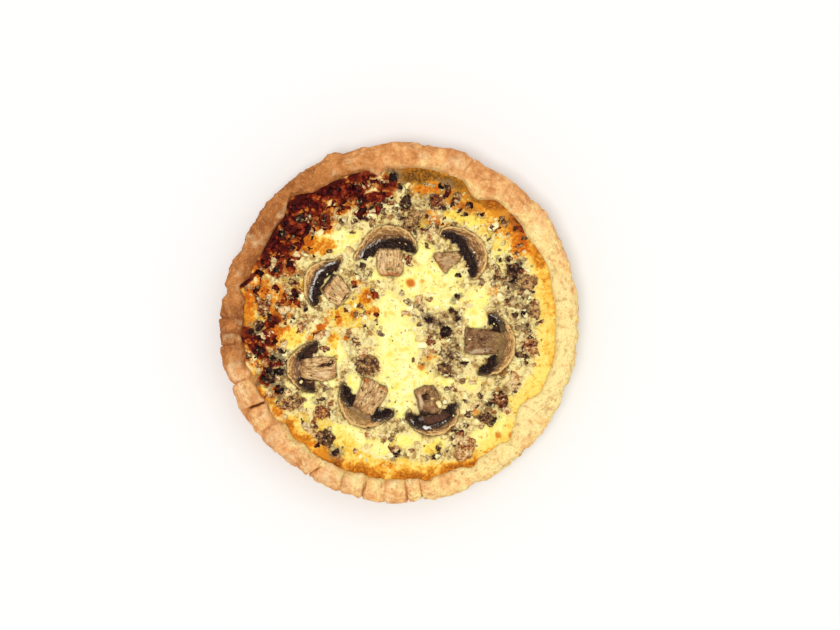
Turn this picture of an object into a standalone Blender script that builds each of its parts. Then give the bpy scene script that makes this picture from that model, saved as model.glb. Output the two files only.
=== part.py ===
"""Chicken and mushroom pie with an open top.

A shortcrust case holds a set filling of custard and melted cheese. Seven lengthwise mushroom
slices lie round its top with their stems towards the middle, and chunks of mushroom and chicken
are sunk between them. Metres, +Z up; the origin is under the middle of the pie, on the plane
that it stands on. Angles run anticlockwise from +X, seen from above.
"""
import math
import random

import bmesh
import bpy
from mathutils import Euler, Matrix, Vector, noise

MM = 0.001
FLOOR_GAP = 0.3
WALL_GAP = 0.5
SEAT_GAP = 0.5

# The case: a turned section from the middle of its floor, up the inner wall, over the rim and
# down the sloping side, in mm from the axis and from the ground.
TURN_STEPS = 108
FLOOR_TOP = 5.5
WALL_TOP = 26.0
RIM_INNER = 100.0
RIM_OUTER = 114.7
INNER_WALL = ((0, FLOOR_TOP), (85, FLOOR_TOP), (89, 6.6), (95, 15), (RIM_INNER, WALL_TOP), (100.6, 31.6))
RIM_TOP = ((103, 34), (107.5, 35), (112.3, 33.9), (RIM_OUTER, 31), (112.5, 27.8))
SIDE = ((108, WALL_TOP), (101.5, 16), (93.4, 1.5), (91, 0), (0, 0))
# The rim's uneven shape fades out down the wall to RIM_FOOT. RIM_CENTRE is the place of the
# turning axis that brings the middle of the uneven outline over the origin.
RIM_FOOT = 18.0
RIM_CENTRE = (-0.1, -0.56)

# Lobes of the rim over the filling (bays where negative): angle, half width in degrees, reach in mm.
INNER_LOBES = (
    (34, 5, 1.6), (59, 8.5, 6.7), (90, 8, 1.2), (98, 4.5, 4.2), (151, 9, 1.4),
    (211, 4, 1.8), (222, 6, 2.8), (232, 5, 1.8), (256, 3, 1.2), (325, 10.5, 6.6),
    (20, 9, -1.3), (130.5, 8.5, -5.8), (167, 4.5, -5.2), (185, 4, -1.8), (195, 3.5, -1.6),
    (280, 3.5, -2.2), (297, 4, -3.0), (313, 3.5, -2.4), (347, 9, -1.2),
)
# Swells of the rim's outer edge (dips where negative), in the same terms.
OUTER_SWELLS = (
    (37, 20, 2.2), (72, 8, 2.6), (90, 12, 1.0), (112.5, 5, 2.2), (152, 14, -2.4), (155, 4.5, -1.8),
    (170, 3.5, -2.4), (191, 8, 0.9), (200, 3.5, -1.2), (235, 26, -1.5), (253.5, 3.5, -1.4),
    (277.5, 3.5, -1.2), (295, 5, -1.6), (337.5, 4, -1.0),
)
# Crimps pressed into the rim: angle in degrees, depth in mm.
CRIMPS = (
    (42.5, 0.8), (66.5, 2.0), (74, 0.8), (178, 1.2), (183, 1.0), (187, 1.2), (200, 1.4), (209.5, 2.6),
    (218.5, 1.4), (234, 1.6), (241, 2.6), (250, 1.6), (258, 1.8), (272.5, 1.6), (277.5, 1.4), (282, 1.2),
    (306, 1.4), (313, 1.0),
)
CRIMP_HALF_WIDTH = 3.4
CRIMP_PULL = 0.45
CRIMP_RISE = (28.0, 33.5)
# Slow rise and fall of the rim, and the short crags on its top, in mm; CRAG_BAND is where the
# crags grow in, as a share of the rim's width from its inner edge.
RIM_WAVE = 0.7
RIM_WAVE_LENGTH = 28.0
CRAG_HEIGHT = 0.9
CRAG_LENGTH = 7.0
CRAG_BAND = (0.05, 0.4)

# The filling's top: its edge lies on the inner wall, and its rings are spaced evenly inside it.
FILL_LEVEL = 26.6
FILL_EDGE = (100.2, 28.0)
FILL_RINGS = 8
SWELL_HEIGHT = 1.0
SWELL_LENGTH = 34.0
RIPPLE_HEIGHT = 0.9
RIPPLE_LENGTH = 11.0
EDGE_RISE = 1.3
EDGE_BAND = 10.0

# Mushroom slices, all in mm. Each lies in its own plane: u runs to the right of its crown and v
# towards it. at: place of the slice's origin; heading: way the crown points; cap: middle u, v,
# half width and rise; tips: angles on the cap where its right and left tips end; flesh: its
# thickness at the crown and at the tips; gills: their depth; stem: (u, half width) at its top and
# at its foot, and v of the foot; tilt: lean about u and v in degrees.
SLICES = {
    "mushroom_slice_top": dict(
        at=(-7.3, 48.7), heading=90, cap=(-1.0, -3.0, 19.5, 16.5), tips=(-9, 197), flesh=(9.6, 4.6),
        gills=3.2, stem=((0.2, 8.3), (1.2, 7.4), -19.0), tilt=(1.2, -0.8)),
    "mushroom_slice_upper_right": dict(
        at=(40.4, 44.9), heading=35, cap=(-0.7, -2.0, 19.8, 16.5), tips=(-13, 193), flesh=(9.4, 4.6),
        gills=3.4, stem=((-0.5, 4.2), (-2.4, 7.6), -17.0), tilt=(-0.8, 1.0)),
    "mushroom_slice_right": dict(
        at=(60.2, -14.3), heading=0, cap=(-0.3, -2.0, 20.3, 16.0), tips=(-24, 188), flesh=(10.4, 4.8),
        gills=3.0, stem=((-1.4, 8.2), (-2.6, 7.8), -18.0), tilt=(0.6, -1.2)),
    "mushroom_slice_lower_right": dict(
        at=(21.3, -54.5), heading=-88, cap=(0.3, 3.0, 17.3, 15.0), tips=(-5, 206), flesh=(8.4, 4.8),
        gills=4.6, stem=((2.2, 7.0), (5.6, 6.3), -12.5), tilt=(-1.0, -0.6)),
    "mushroom_slice_bottom": dict(
        at=(-21.3, -49.4), heading=-118, cap=(-0.7, 0.5, 19.8, 17.5), tips=(-8, 190), flesh=(11.0, 4.8),
        gills=3.0, stem=((-1.4, 8.2), (-1.0, 9.2), -12.0), tilt=(0.9, 0.9)),
    "mushroom_slice_lower_left": dict(
        at=(-55.7, -29.0), heading=182, cap=(0.7, 0.0, 16.7, 17.0), tips=(-17, 188), flesh=(10.2, 4.4),
        gills=3.0, stem=((-0.8, 7.2), (-1.6, 7.4), -15.0), tilt=(-0.7, 1.1)),
    "mushroom_slice_upper_left": dict(
        at=(-46.2, 24.5), heading=142, cap=(0.5, 1.5, 17.0, 15.5), tips=(4, 199), flesh=(9.8, 4.8),
        gills=3.0, stem=((0.4, 6.6), (0.6, 6.8), -15.0), tilt=(1.0, -1.0)),
}
SLICE_SINK = 1.8
CAP_HEIGHT = 3.7
STEM_HEIGHT = 3.4
GILL_HEIGHT = 2.5
GILL_INSET = 1.2
GILL_TIP_SHARE = 0.6
GILL_LIFT = 0.3
STEM_LIFT = 0.15
SLICE_CHAMFER = 0.9
CHAMFER_DROP = 0.6
SEAT_RISE = 9.0
CAP_TAPER = 1.4
STEM_WAIST = 0.4
STEM_BITE = 0.75
FOOT_ROUNDING = 1.4
ARCH_STEPS = 9
TIP_STEPS = 2

# Chunks as large as a berry: place, (length, width, height) in mm, heading in degrees.
MUSHROOM_CHUNKS = (
    ((-22.0, -27.1), (14.5, 11.0, 8.0), 35),
    ((8.3, 66.6), (12.0, 9.0, 7.5), 60),
    ((83.0, 25.6), (11.0, 8.5, 7.0), 20),
    ((86.0, 7.6), (9.5, 8.0, 6.5), 75),
    ((73.4, 33.6), (9.5, 8.0, 6.5), 120),
    ((-67.6, -50.6), (11.0, 8.0, 6.5), 50),
    ((-47.6, -74.6), (11.5, 9.0, 7.5), 130),
    ((3.2, 76.6), (8.5, 10.5, 7.0), 10),
    ((-83.0, -33.8), (9.5, 8.0, 6.5), 80),
    ((29.6, -6.1), (8.0, 7.4, 6.0), 15),
    ((29.8, -29.6), (8.5, 7.5, 6.0), 100),
    ((56.6, -61.6), (9.5, 7.5, 6.0), 150),
)
CHICKEN_CHUNKS = (
    ((41.9, -81.6), (17.0, 11.0, 8.5), 62),
    ((-50.2, -57.6), (9.5, 8.0, 6.5), 20),
    ((23.9, 77.6), (10.0, 8.0, 6.5), 70),
    ((84.6, -15.4), (9.5, 8.5, 6.5), 95),
    ((73.2, -38.3), (12.0, 7.5, 6.0), 55),
    ((64.9, -49.4), (8.5, 7.5, 6.0), 140),
    ((-86.6, 9.6), (9.0, 7.5, 6.0), 100),
)
CHUNK_SINK = 0.52
CHUNK_JITTER = 0.16

# Small dice fused to the filling.
DIE_COUNT = 40
DIE_SIZES = (3.6, 6.4)
DIE_SINK = 0.52
DIE_CLEARANCE = 1.2
EDGE_CLEARANCE = 2.0
DIE_REACH = 0.75
DIE_TRIES = 20000
CHUNK_REACH = 0.62
CAP_DISC = 0.35
STEM_DISC = (0.55, 10.0)
INNERMOST_SHARE = 0.02
SEED = 11

CRUST_COLOUR = (0.62, 0.37, 0.16)
FILLING_COLOUR = (0.90, 0.74, 0.28)
MUSHROOM_COLOUR = (0.30, 0.19, 0.11)
CHUNK_COLOUR = (0.09, 0.05, 0.04)
CHICKEN_COLOUR = (0.45, 0.20, 0.09)


def smoothstep(low, high, value):
    """0 below low, 1 above high, and an even slope between."""
    t = min(max((value - low) / (high - low), 0.0), 1.0)
    return t * t * (3.0 - 2.0 * t)


def bump(angle, centre, half_width):
    """A round hump, 1 at its centre and 0 at half_width degrees from it."""
    off = abs((angle - centre + 180.0) % 360.0 - 180.0)
    return 0.5 * (1.0 + math.cos(math.pi * off / half_width)) if off < half_width else 0.0


def total(features, angle):
    """Sum of a list of humps at this angle."""
    return sum(reach * bump(angle, centre, half) for centre, half, reach in features)


def crimp_depth(angle):
    """Depth of the crimps at this angle; where two meet, the deeper one counts."""
    return max(depth * bump(angle, centre, CRIMP_HALF_WIDTH) for centre, depth in CRIMPS)


def inner_radius(angle):
    """Radius of the rim's inner edge, in mm."""
    return RIM_INNER - total(INNER_LOBES, angle)


def rim_point(angle, radius, height):
    """Where a point of the turned section goes at this angle; all in mm."""
    near_rim = smoothstep(RIM_FOOT, WALL_TOP, height)
    across = min(max((radius - RIM_INNER) / (RIM_OUTER - RIM_INNER), 0.0), 1.0)
    crimp = crimp_depth(angle)
    shift = total(OUTER_SWELLS, angle) * across - total(INNER_LOBES, angle) * (1.0 - across)
    shift -= CRIMP_PULL * crimp * across
    turn = math.radians(angle)
    way = Vector((math.cos(turn), math.sin(turn), 0.0))
    wave = RIM_WAVE * noise.noise(way * RIM_OUTER / RIM_WAVE_LENGTH)
    place = way * radius + Vector((0.0, 0.0, height))
    crag = CRAG_HEIGHT * noise.noise(place / CRAG_LENGTH) * smoothstep(*CRAG_BAND, across)
    on_top = smoothstep(*CRIMP_RISE, height)
    return radius + near_rim * shift, height + near_rim * (wave + crag) - on_top * crimp


def add_material(name, colour, roughness):
    """A Principled material."""
    material = bpy.data.materials.new(name)
    material.use_nodes = True
    shader = material.node_tree.nodes["Principled BSDF"]
    shader.inputs["Base Color"].default_value = (*colour, 1.0)
    shader.inputs["Roughness"].default_value = roughness
    shader.inputs["Metallic"].default_value = 0.0
    return material


def add_object(name, mesh, collection):
    """A new object for a mesh, linked to a collection."""
    thing = bpy.data.objects.new(name, mesh)
    collection.objects.link(thing)
    return thing


def mesh_from(bm, name):
    """The finished mesh of a bmesh, which is then freed."""
    mesh = bpy.data.meshes.new(name)
    bm.to_mesh(mesh)
    bm.free()
    return mesh


def evaluated_mesh(thing):
    """A plain mesh of an object with its modifiers applied."""
    depsgraph = bpy.context.evaluated_depsgraph_get()
    depsgraph.update()
    return bpy.data.meshes.new_from_object(thing.evaluated_get(depsgraph))


def remove(thing):
    """Takes an object and its data out of the file."""
    data = thing.data
    bpy.data.objects.remove(thing)
    if isinstance(data, bpy.types.Mesh):
        bpy.data.meshes.remove(data)
    else:
        bpy.data.curves.remove(data)


def apply_modifiers(thing):
    """Bakes an object's modifiers into its mesh."""
    old = thing.data
    new = evaluated_mesh(thing)
    thing.modifiers.clear()
    thing.data = new
    bpy.data.meshes.remove(old)


def turn_section(name, section, collection):
    """Turns a section of (radius, height) points in mm round Z and closes it on the axis."""
    bm = bmesh.new()
    points = [bm.verts.new((radius * MM, 0.0, height * MM)) for radius, height in section]
    for start, end in zip(points, points[1:]):
        bm.edges.new((start, end))
    thing = add_object(name, mesh_from(bm, name), collection)
    screw = thing.modifiers.new("turn", "SCREW")
    screw.steps = screw.render_steps = TURN_STEPS
    screw.use_merge_vertices = True
    screw.merge_threshold = 0.01 * MM
    apply_modifiers(thing)
    return thing


def reshape(thing, move):
    """Moves each point of a turned mesh by a rule for (angle, radius, height), in degrees and mm."""
    bm = bmesh.new()
    bm.from_mesh(thing.data)
    for vert in bm.verts:
        turn = math.atan2(vert.co.y, vert.co.x)
        radius = math.hypot(vert.co.x, vert.co.y) / MM
        radius, height = move(math.degrees(turn) % 360.0, radius, vert.co.z / MM)
        vert.co = Vector((radius * math.cos(turn), radius * math.sin(turn), height)) * MM
    bmesh.ops.triangulate(bm, faces=bm.faces, quad_method="SHORT_EDGE")
    bmesh.ops.translate(bm, verts=bm.verts, vec=Vector((*RIM_CENTRE, 0.0)) * MM)
    bm.to_mesh(thing.data)
    bm.free()


def crust_point(angle, radius, height):
    """The case's own shape; its middle stays on the axis."""
    return rim_point(angle, radius, height) if radius > 1.0 else (radius, height)


def make_crust(collection):
    """The shortcrust case with its crimped rim."""
    crust = turn_section("crust", INNER_WALL + RIM_TOP + SIDE, collection)
    reshape(crust, crust_point)
    return crust


def surface_height(x, y):
    """Height of the filling's top at a place in mm, without what lies on it."""
    place = Vector((x, y, 0.0))
    swell = SWELL_HEIGHT * noise.noise(place / SWELL_LENGTH)
    ripple = RIPPLE_HEIGHT * noise.noise(place / RIPPLE_LENGTH + Vector((0.0, 0.0, 5.0)))
    rise = EDGE_RISE * smoothstep(RIM_INNER - EDGE_BAND, RIM_INNER, math.hypot(x, y))
    return FILL_LEVEL + swell + ripple + rise


def filling_point(angle, radius, height):
    """The filling's shape: just inside the case below, with an uneven top."""
    if height < FILL_EDGE[1] - 0.1:
        radius, height = crust_point(angle, radius, height)
        return max(radius - WALL_GAP, 0.0), height + FLOOR_GAP
    edge = rim_point(angle, *FILL_EDGE)[0] - WALL_GAP
    radius *= edge / FILL_EDGE[0]
    turn = math.radians(angle)
    x = radius * math.cos(turn) + RIM_CENTRE[0]
    y = radius * math.sin(turn) + RIM_CENTRE[1]
    return radius, surface_height(x, y)


def boolean(thing, operation, other=None, group=None):
    """Applies one Boolean with an object or a collection."""
    modifier = thing.modifiers.new(operation, "BOOLEAN")
    modifier.operation = operation
    modifier.solver = "EXACT"
    if group:
        modifier.operand_type = "COLLECTION"
        modifier.collection = group
    else:
        modifier.object = other
    apply_modifiers(thing)


def arch_points(spec, outer, inner_crown, inner_tip):
    """Outline of an arch that follows the cap: insets in mm from the cap's own edge."""
    middle_u, middle_v, half_width, rise = spec["cap"]
    right, left = (math.radians(tip) for tip in spec["tips"])

    def inset_at(turn, crown, tip):
        return tip + (crown - tip) * max(0.0, math.sin(turn)) ** CAP_TAPER

    def on_arch(turn, inset):
        return Vector((middle_u + (half_width - inset) * math.cos(turn),
                       middle_v + (rise - inset) * math.sin(turn)))

    turns = [right + (left - right) * step / ARCH_STEPS for step in range(ARCH_STEPS + 1)]
    outside = [on_arch(turn, outer) for turn in turns]
    inside = [on_arch(turn, inset_at(turn, inner_crown, inner_tip)) for turn in turns]

    def round_tip(start, end):
        middle = (start + end) / 2.0
        arm = start - middle
        steps = range(1, TIP_STEPS + 1)
        return [middle + Matrix.Rotation(math.pi * step / (TIP_STEPS + 1), 2) @ arm for step in steps]

    return outside + round_tip(outside[-1], inside[-1]) + inside[::-1] + round_tip(inside[0], outside[0])


def stem_points(spec):
    """Outline of the stem, from inside the cap to its foot."""
    (top_u, top_half), (foot_u, foot_half), foot_v = spec["stem"]
    _, middle_v, _, rise = spec["cap"]
    top_v = middle_v + rise - STEM_BITE * spec["flesh"][0]
    waist_v = (top_v + foot_v) / 2.0
    waist_u = (top_u + foot_u) / 2.0
    waist = (top_half + foot_half) / 2.0 - STEM_WAIST
    heel_v = foot_v + FOOT_ROUNDING
    toe = foot_half - FOOT_ROUNDING
    return [Vector(point) for point in (
        (top_u - top_half, top_v), (waist_u - waist, waist_v), (foot_u - foot_half, heel_v),
        (foot_u - toe, foot_v), (foot_u + toe, foot_v), (foot_u + foot_half, heel_v),
        (waist_u + waist, waist_v), (top_u + top_half, top_v))]


def grown(points, distance):
    """An anticlockwise outline moved out by a distance."""
    result = []
    for index, point in enumerate(points):
        before = points[index - 1]
        after = points[(index + 1) % len(points)]
        along = (after - before).normalized()
        result.append(point + Vector((along.y, -along.x)) * distance)
    return result


def make_plate(name, points, bottom, top, chamfer, collection):
    """A flat plate with this outline, whose upper edge may be sloped; all in mm."""
    curve = bpy.data.curves.new(name, "CURVE")
    curve.dimensions = "2D"
    curve.fill_mode = "BOTH"
    curve.extrude = (top - bottom) / 2.0 * MM
    spline = curve.splines.new("POLY")
    spline.points.add(len(points) - 1)
    for target, point in zip(spline.points, points):
        target.co = (point.x * MM, point.y * MM, 0.0, 1.0)
    spline.use_cyclic_u = True
    flat = add_object(name, curve, collection)
    mesh = evaluated_mesh(flat)
    remove(flat)
    bm = bmesh.new()
    bm.from_mesh(mesh)
    bmesh.ops.remove_doubles(bm, verts=bm.verts, dist=0.01 * MM)
    bmesh.ops.dissolve_limit(bm, angle_limit=math.radians(0.5), verts=bm.verts, edges=bm.edges)
    bmesh.ops.translate(bm, verts=bm.verts, vec=(0.0, 0.0, (top + bottom) / 2.0 * MM))
    bmesh.ops.recalc_face_normals(bm, faces=bm.faces)
    if chamfer:
        upper = [face for face in bm.faces if face.normal.z > 0.9]
        bmesh.ops.inset_region(bm, faces=upper, thickness=chamfer * MM, depth=0.0)
        rim = {vert for face in upper for vert in face.verts}
        for vert in {vert for face in bm.faces for vert in face.verts} - rim:
            if vert.co.z > (top + bottom) / 2.0 * MM:
                vert.co.z -= CHAMFER_DROP * MM
    bm.to_mesh(mesh)
    bm.free()
    return add_object(name, mesh, collection)


def make_slice(name, spec, grow, collection):
    """A mushroom slice of cap, gills and stem in one solid; grow gives the seat that it lies in."""
    crown, tip = spec["flesh"]
    gills = spec["gills"]
    gill_tip = tip + GILL_TIP_SHARE * gills
    outlines = {
        "cap": (arch_points(spec, 0.0, crown, tip), 0.0, CAP_HEIGHT),
        "gills": (arch_points(spec, GILL_INSET, crown + gills, gill_tip), GILL_LIFT, GILL_HEIGHT),
        "stem": (stem_points(spec), STEM_LIFT, STEM_HEIGHT),
    }
    plates = []
    for part, (points, bottom, top) in outlines.items():
        chamfer = 0.0 if grow or part == "gills" else SLICE_CHAMFER
        bottom, top = (bottom - grow, top + SEAT_RISE) if grow else (bottom, top)
        plates.append(make_plate(f"{name}_{part}", grown(points, grow), bottom, top, chamfer, collection))
    whole = plates[0]
    for plate in plates[1:]:
        boolean(whole, "UNION", other=plate)
        remove(plate)
    whole.name = name
    x, y = spec["at"]
    level = surface_height(x, y) - SLICE_SINK
    whole.location = Vector((x, y, level)) * MM
    angles = (*spec["tilt"], spec["heading"] - 90)
    whole.rotation_euler = Euler([math.radians(angle) for angle in angles])
    return whole


def make_lump(name, size, rounds, draw, collection):
    """An uneven block of about this size in mm; one round of smoothing gives it soft corners."""
    bm = bmesh.new()
    bmesh.ops.create_cube(bm, size=1.0)
    for vert in bm.verts:
        jitter = Vector([draw.uniform(-CHUNK_JITTER, CHUNK_JITTER) for _ in range(3)])
        vert.co = Vector([(corner + push) * side * MM for corner, push, side in zip(vert.co, jitter, size)])
    if not rounds:
        bmesh.ops.triangulate(bm, faces=bm.faces)
    lump = add_object(name, mesh_from(bm, name), collection)
    if rounds:
        soft = lump.modifiers.new("soft", "SUBSURF")
        soft.levels = soft.render_levels = rounds
        apply_modifiers(lump)
        fill_size(lump, size)
    return lump


def fill_size(lump, size):
    """Stretches a lump to its full size, since smoothing shrinks it."""
    for axis, side in enumerate(size):
        values = [vert.co[axis] for vert in lump.data.vertices]
        middle = (max(values) + min(values)) / 2.0
        scale = side * MM / (max(values) - min(values))
        for vert in lump.data.vertices:
            vert.co[axis] = (vert.co[axis] - middle) * scale


def place_on_top(thing, place, height, sink, heading):
    """Sinks a lump into the filling by a share of its height."""
    x, y = place
    level = surface_height(x, y) + height * (0.5 - sink)
    thing.location = Vector((x, y, level)) * MM
    thing.rotation_euler = Euler((0.0, 0.0, math.radians(heading)))


def make_chunks(kind, table, draw, collection, seats):
    """The chunks of one kind, each a solid of its own, and the seats that they lie in."""
    chunks = []
    for number, (place, size, heading) in enumerate(table, start=1):
        chunk = make_lump(f"{kind}_chunk_{number}", size, 1, draw, collection)
        place_on_top(chunk, place, size[2], CHUNK_SINK, heading)
        seat = add_object(f"{chunk.name}_seat", chunk.data.copy(), seats)
        growth = Vector([(side + 2.0 * SEAT_GAP) / side for side in size])
        seat.data.transform(Matrix.Diagonal((*growth, 1.0)))
        seat.location = chunk.location
        seat.rotation_euler = chunk.rotation_euler
        chunks.append(chunk)
    return chunks


def slice_reach(spec, place):
    """Distance in mm from a place to a slice, taken as a cap disc and a stem disc."""
    turn = math.radians(spec["heading"])
    crown = Vector((math.cos(turn), math.sin(turn)))
    away = Vector(place) - Vector(spec["at"])
    _, middle_v, half_width, rise = spec["cap"]
    share, stem_radius = STEM_DISC
    cap_middle = crown * (middle_v + CAP_DISC * rise)
    stem_middle = crown * (spec["stem"][2] * share)
    return min((away - cap_middle).length - half_width, (away - stem_middle).length - stem_radius)


def die_places(draw):
    """Even random places for the small dice, clear of rim, slices, chunks and each other."""
    places = []
    chunks = MUSHROOM_CHUNKS + CHICKEN_CHUNKS
    for _ in range(DIE_TRIES):
        if len(places) == DIE_COUNT:
            break
        angle = draw.uniform(0.0, 360.0)
        radius = RIM_INNER * math.sqrt(draw.uniform(INNERMOST_SHARE, 1.0))
        size = draw.uniform(*DIE_SIZES)
        place = (radius * math.cos(math.radians(angle)), radius * math.sin(math.radians(angle)))
        spot = Vector(place)
        clear = size * DIE_REACH + DIE_CLEARANCE
        if radius + size * DIE_REACH > inner_radius(angle) - EDGE_CLEARANCE:
            continue
        if any(slice_reach(spec, place) < clear for spec in SLICES.values()):
            continue
        if any((spot - Vector(at)).length < max(sides[:2]) * CHUNK_REACH + clear for at, sides, _ in chunks):
            continue
        if any((spot - Vector(at)).length < (size + other) * DIE_REACH + DIE_CLEARANCE for at, other in places):
            continue
        places.append((place, size))
    return places


def fuse_dice(filling, draw, scene_root):
    """Joins the small dice to the filling with one union."""
    dice = bpy.data.collections.new("dice")
    scene_root.children.link(dice)
    for number, (place, size) in enumerate(die_places(draw), start=1):
        sides = [size * draw.uniform(0.8, 1.15) for _ in range(3)]
        die = make_lump(f"die_{number}", sides, 0, draw, dice)
        place_on_top(die, place, size, DIE_SINK, draw.uniform(0.0, 180.0))
    boolean(filling, "UNION", group=dice)
    for die in list(dice.objects):
        remove(die)
    bpy.data.collections.remove(dice)


def keep_largest_body(thing):
    """Drops loose scraps that the cuts leave."""
    bm = bmesh.new()
    bm.from_mesh(thing.data)
    left = set(bm.verts)
    bodies = []
    while left:
        queue = [left.pop()]
        body = set(queue)
        while queue:
            vert = queue.pop()
            near = {edge.other_vert(vert) for edge in vert.link_edges} - body
            body |= near
            left -= near
            queue.extend(near)
        bodies.append(body)
    largest = max(bodies, key=len)
    scraps = [vert for vert in bm.verts if vert not in largest]
    bmesh.ops.delete(bm, geom=scraps, context="VERTS")
    bm.to_mesh(thing.data)
    bm.free()


def make_filling(collection, seats, draw, scene_root):
    """The set custard and cheese: it fills the case and has a seat under every slice and chunk."""
    edge_radius, edge_height = FILL_EDGE
    top = tuple((edge_radius * ring / FILL_RINGS, edge_height) for ring in range(FILL_RINGS + 1))
    section = top + INNER_WALL[-2:0:-1] + ((0, FLOOR_TOP),)
    filling = turn_section("filling", section, collection)
    reshape(filling, filling_point)
    fuse_dice(filling, draw, scene_root)
    boolean(filling, "DIFFERENCE", group=seats)
    keep_largest_body(filling)
    return filling


def finish(thing, material, sharp):
    """Gives a piece its material and smooth shading up to an angle."""
    thing.data.materials.clear()
    thing.data.materials.append(material)
    thing.data.shade_smooth()
    thing.data.set_sharp_from_angle(angle=math.radians(sharp))


def main():
    for thing in list(bpy.data.objects):
        bpy.data.objects.remove(thing)
    scene_root = bpy.context.scene.collection
    parts = bpy.data.collections.new("chicken_and_mushroom_pie")
    seats = bpy.data.collections.new("seats")
    for group in (parts, seats):
        scene_root.children.link(group)
    draw = random.Random(SEED)

    crust = make_crust(parts)
    finish(crust, add_material("baked_pastry", CRUST_COLOUR, 0.75), 50)
    mushroom = add_material("mushroom_slice", MUSHROOM_COLOUR, 0.55)
    for name, spec in SLICES.items():
        finish(make_slice(name, spec, 0.0, parts), mushroom, 30)
        make_slice(f"{name}_seat", spec, SEAT_GAP, seats)
    dark = add_material("roasted_mushroom", CHUNK_COLOUR, 0.5)
    for chunk in make_chunks("mushroom", MUSHROOM_CHUNKS, draw, parts, seats):
        finish(chunk, dark, 60)
    meat = add_material("chicken", CHICKEN_COLOUR, 0.55)
    for chunk in make_chunks("chicken", CHICKEN_CHUNKS, draw, parts, seats):
        finish(chunk, meat, 60)
    filling = make_filling(parts, seats, draw, scene_root)
    finish(filling, add_material("set_custard", FILLING_COLOUR, 0.5), 40)
    for seat in list(seats.objects):
        seat.hide_render = True
        seat.display_type = "WIRE"


main()
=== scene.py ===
import math

import bmesh
import bpy
import numpy as np
from mathutils import Euler, Matrix, Vector, noise


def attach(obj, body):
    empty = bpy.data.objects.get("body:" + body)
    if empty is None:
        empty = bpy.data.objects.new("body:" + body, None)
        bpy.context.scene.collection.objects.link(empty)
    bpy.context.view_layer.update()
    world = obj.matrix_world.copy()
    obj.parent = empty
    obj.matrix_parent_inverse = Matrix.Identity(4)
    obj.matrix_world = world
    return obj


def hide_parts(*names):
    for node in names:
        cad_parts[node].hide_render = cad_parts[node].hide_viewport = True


# Chicken and mushroom pie with an open top. Sizes are in mm unless a name says otherwise, and
# angles run anticlockwise from +X, seen from above.
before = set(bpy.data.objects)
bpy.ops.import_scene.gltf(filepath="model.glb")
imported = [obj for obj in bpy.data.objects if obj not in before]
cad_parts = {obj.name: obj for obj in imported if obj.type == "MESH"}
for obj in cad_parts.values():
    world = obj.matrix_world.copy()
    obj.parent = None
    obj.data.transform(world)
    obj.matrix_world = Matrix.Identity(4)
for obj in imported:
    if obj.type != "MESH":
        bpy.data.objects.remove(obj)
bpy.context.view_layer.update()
mm = 0.001
body = "root"
print("frame loaded:", len(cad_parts), "solids")


# numbers and noise

def smoothStep(low, high, value):
    t = np.clip((value - low) / (high - low), 0.0, 1.0)
    return t * t * (3.0 - 2.0 * t)


def mixed(a, b, share):
    return a + (b - a) * share


def gridNoise(x, y, seed, around=0):
    # smooth noise on a unit grid, about -1 to 1; around is the number of cells before x repeats
    size = 256
    turns = np.random.default_rng(seed).uniform(0.0, 2.0 * np.pi, (size, size))
    column, row = np.floor(x).astype(int), np.floor(y).astype(int)
    total = np.zeros(np.broadcast(x, y).shape)
    for stepX in (0, 1):
        for stepY in (0, 1):
            awayX, awayY = x - column - stepX, y - row - stepY
            turn = turns[((column + stepX) % (around or size)) % size, (row + stepY) % size]
            fade = smoothStep(0.0, 1.0, 1.0 - np.abs(awayX)) * smoothStep(0.0, 1.0, 1.0 - np.abs(awayY))
            total += (np.cos(turn) * awayX + np.sin(turn) * awayY) * fade
    return total * 1.5


def layeredNoise(x, y, cell, layers, seed):
    # noise with finer layers added, each half as strong; cell is the size of the largest
    total = np.zeros(np.broadcast(x, y).shape)
    for layer in range(layers):
        scale = 2.0 ** layer / cell
        total += gridNoise(x * scale + 17.3 * layer, y * scale + 9.1 * layer, seed + layer) / 2.0 ** layer
    return total


def bent(x, y, reach, cell, layers, seeds):
    # places moved by noise, each way with its own seed
    return [place + reach * layeredNoise(x, y, cell, layers, seed) for place, seed in zip((x, y), seeds)]


def lumpPattern(x, y, size, seed):
    # irregular lumps side by side: how far a place is from the gap round its lump, and two
    # numbers from 0 to 1 that are the lump's own
    wide = 128
    shiftX, shiftY, own, other = np.random.default_rng(seed).uniform(0.0, 1.0, (4, wide, wide))
    column, row = np.floor(x / size).astype(int), np.floor(y / size).astype(int)
    nearest, second = np.full(x.shape, 9.0), np.full(x.shape, 9.0)
    number, level = np.zeros(x.shape), np.zeros(x.shape)
    for stepX in (-1, 0, 1):
        for stepY in (-1, 0, 1):
            cell = ((column + stepX) % wide, (row + stepY) % wide)
            middleX = (column + stepX + 0.1 + 0.8 * shiftX[cell]) * size
            middleY = (row + stepY + 0.1 + 0.8 * shiftY[cell]) * size
            away = np.hypot(x - middleX, y - middleY) / size
            closer = away < nearest
            second = np.where(closer, nearest, np.minimum(second, away))
            number = np.where(closer, own[cell], number)
            level = np.where(closer, other[cell], level)
            nearest = np.minimum(nearest, away)
    return second - nearest, number, level


def hump(angle, centre, halfWidth):
    off = np.abs((angle - centre + 180.0) % 360.0 - 180.0)
    return np.where(off < halfWidth, 0.5 * (1.0 + np.cos(np.pi * off / halfWidth)), 0.0)


def patches(x, y, places):
    # soft ellipses: x, y, half length, half width, strength and, where it isn't 0, turn in degrees
    total = np.zeros(np.shape(x))
    for px, py, halfLength, halfWidth, strength, *turn in places:
        turned = math.radians(turn[0] if turn else 0.0)
        cos, sin = math.cos(turned), math.sin(turned)
        along = ((x - px) * cos + (y - py) * sin) / halfLength
        aside = ((y - py) * cos - (x - px) * sin) / halfWidth
        total = np.maximum(total, strength * smoothStep(1.3, 0.5, np.hypot(along, aside)))
    return total


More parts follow.
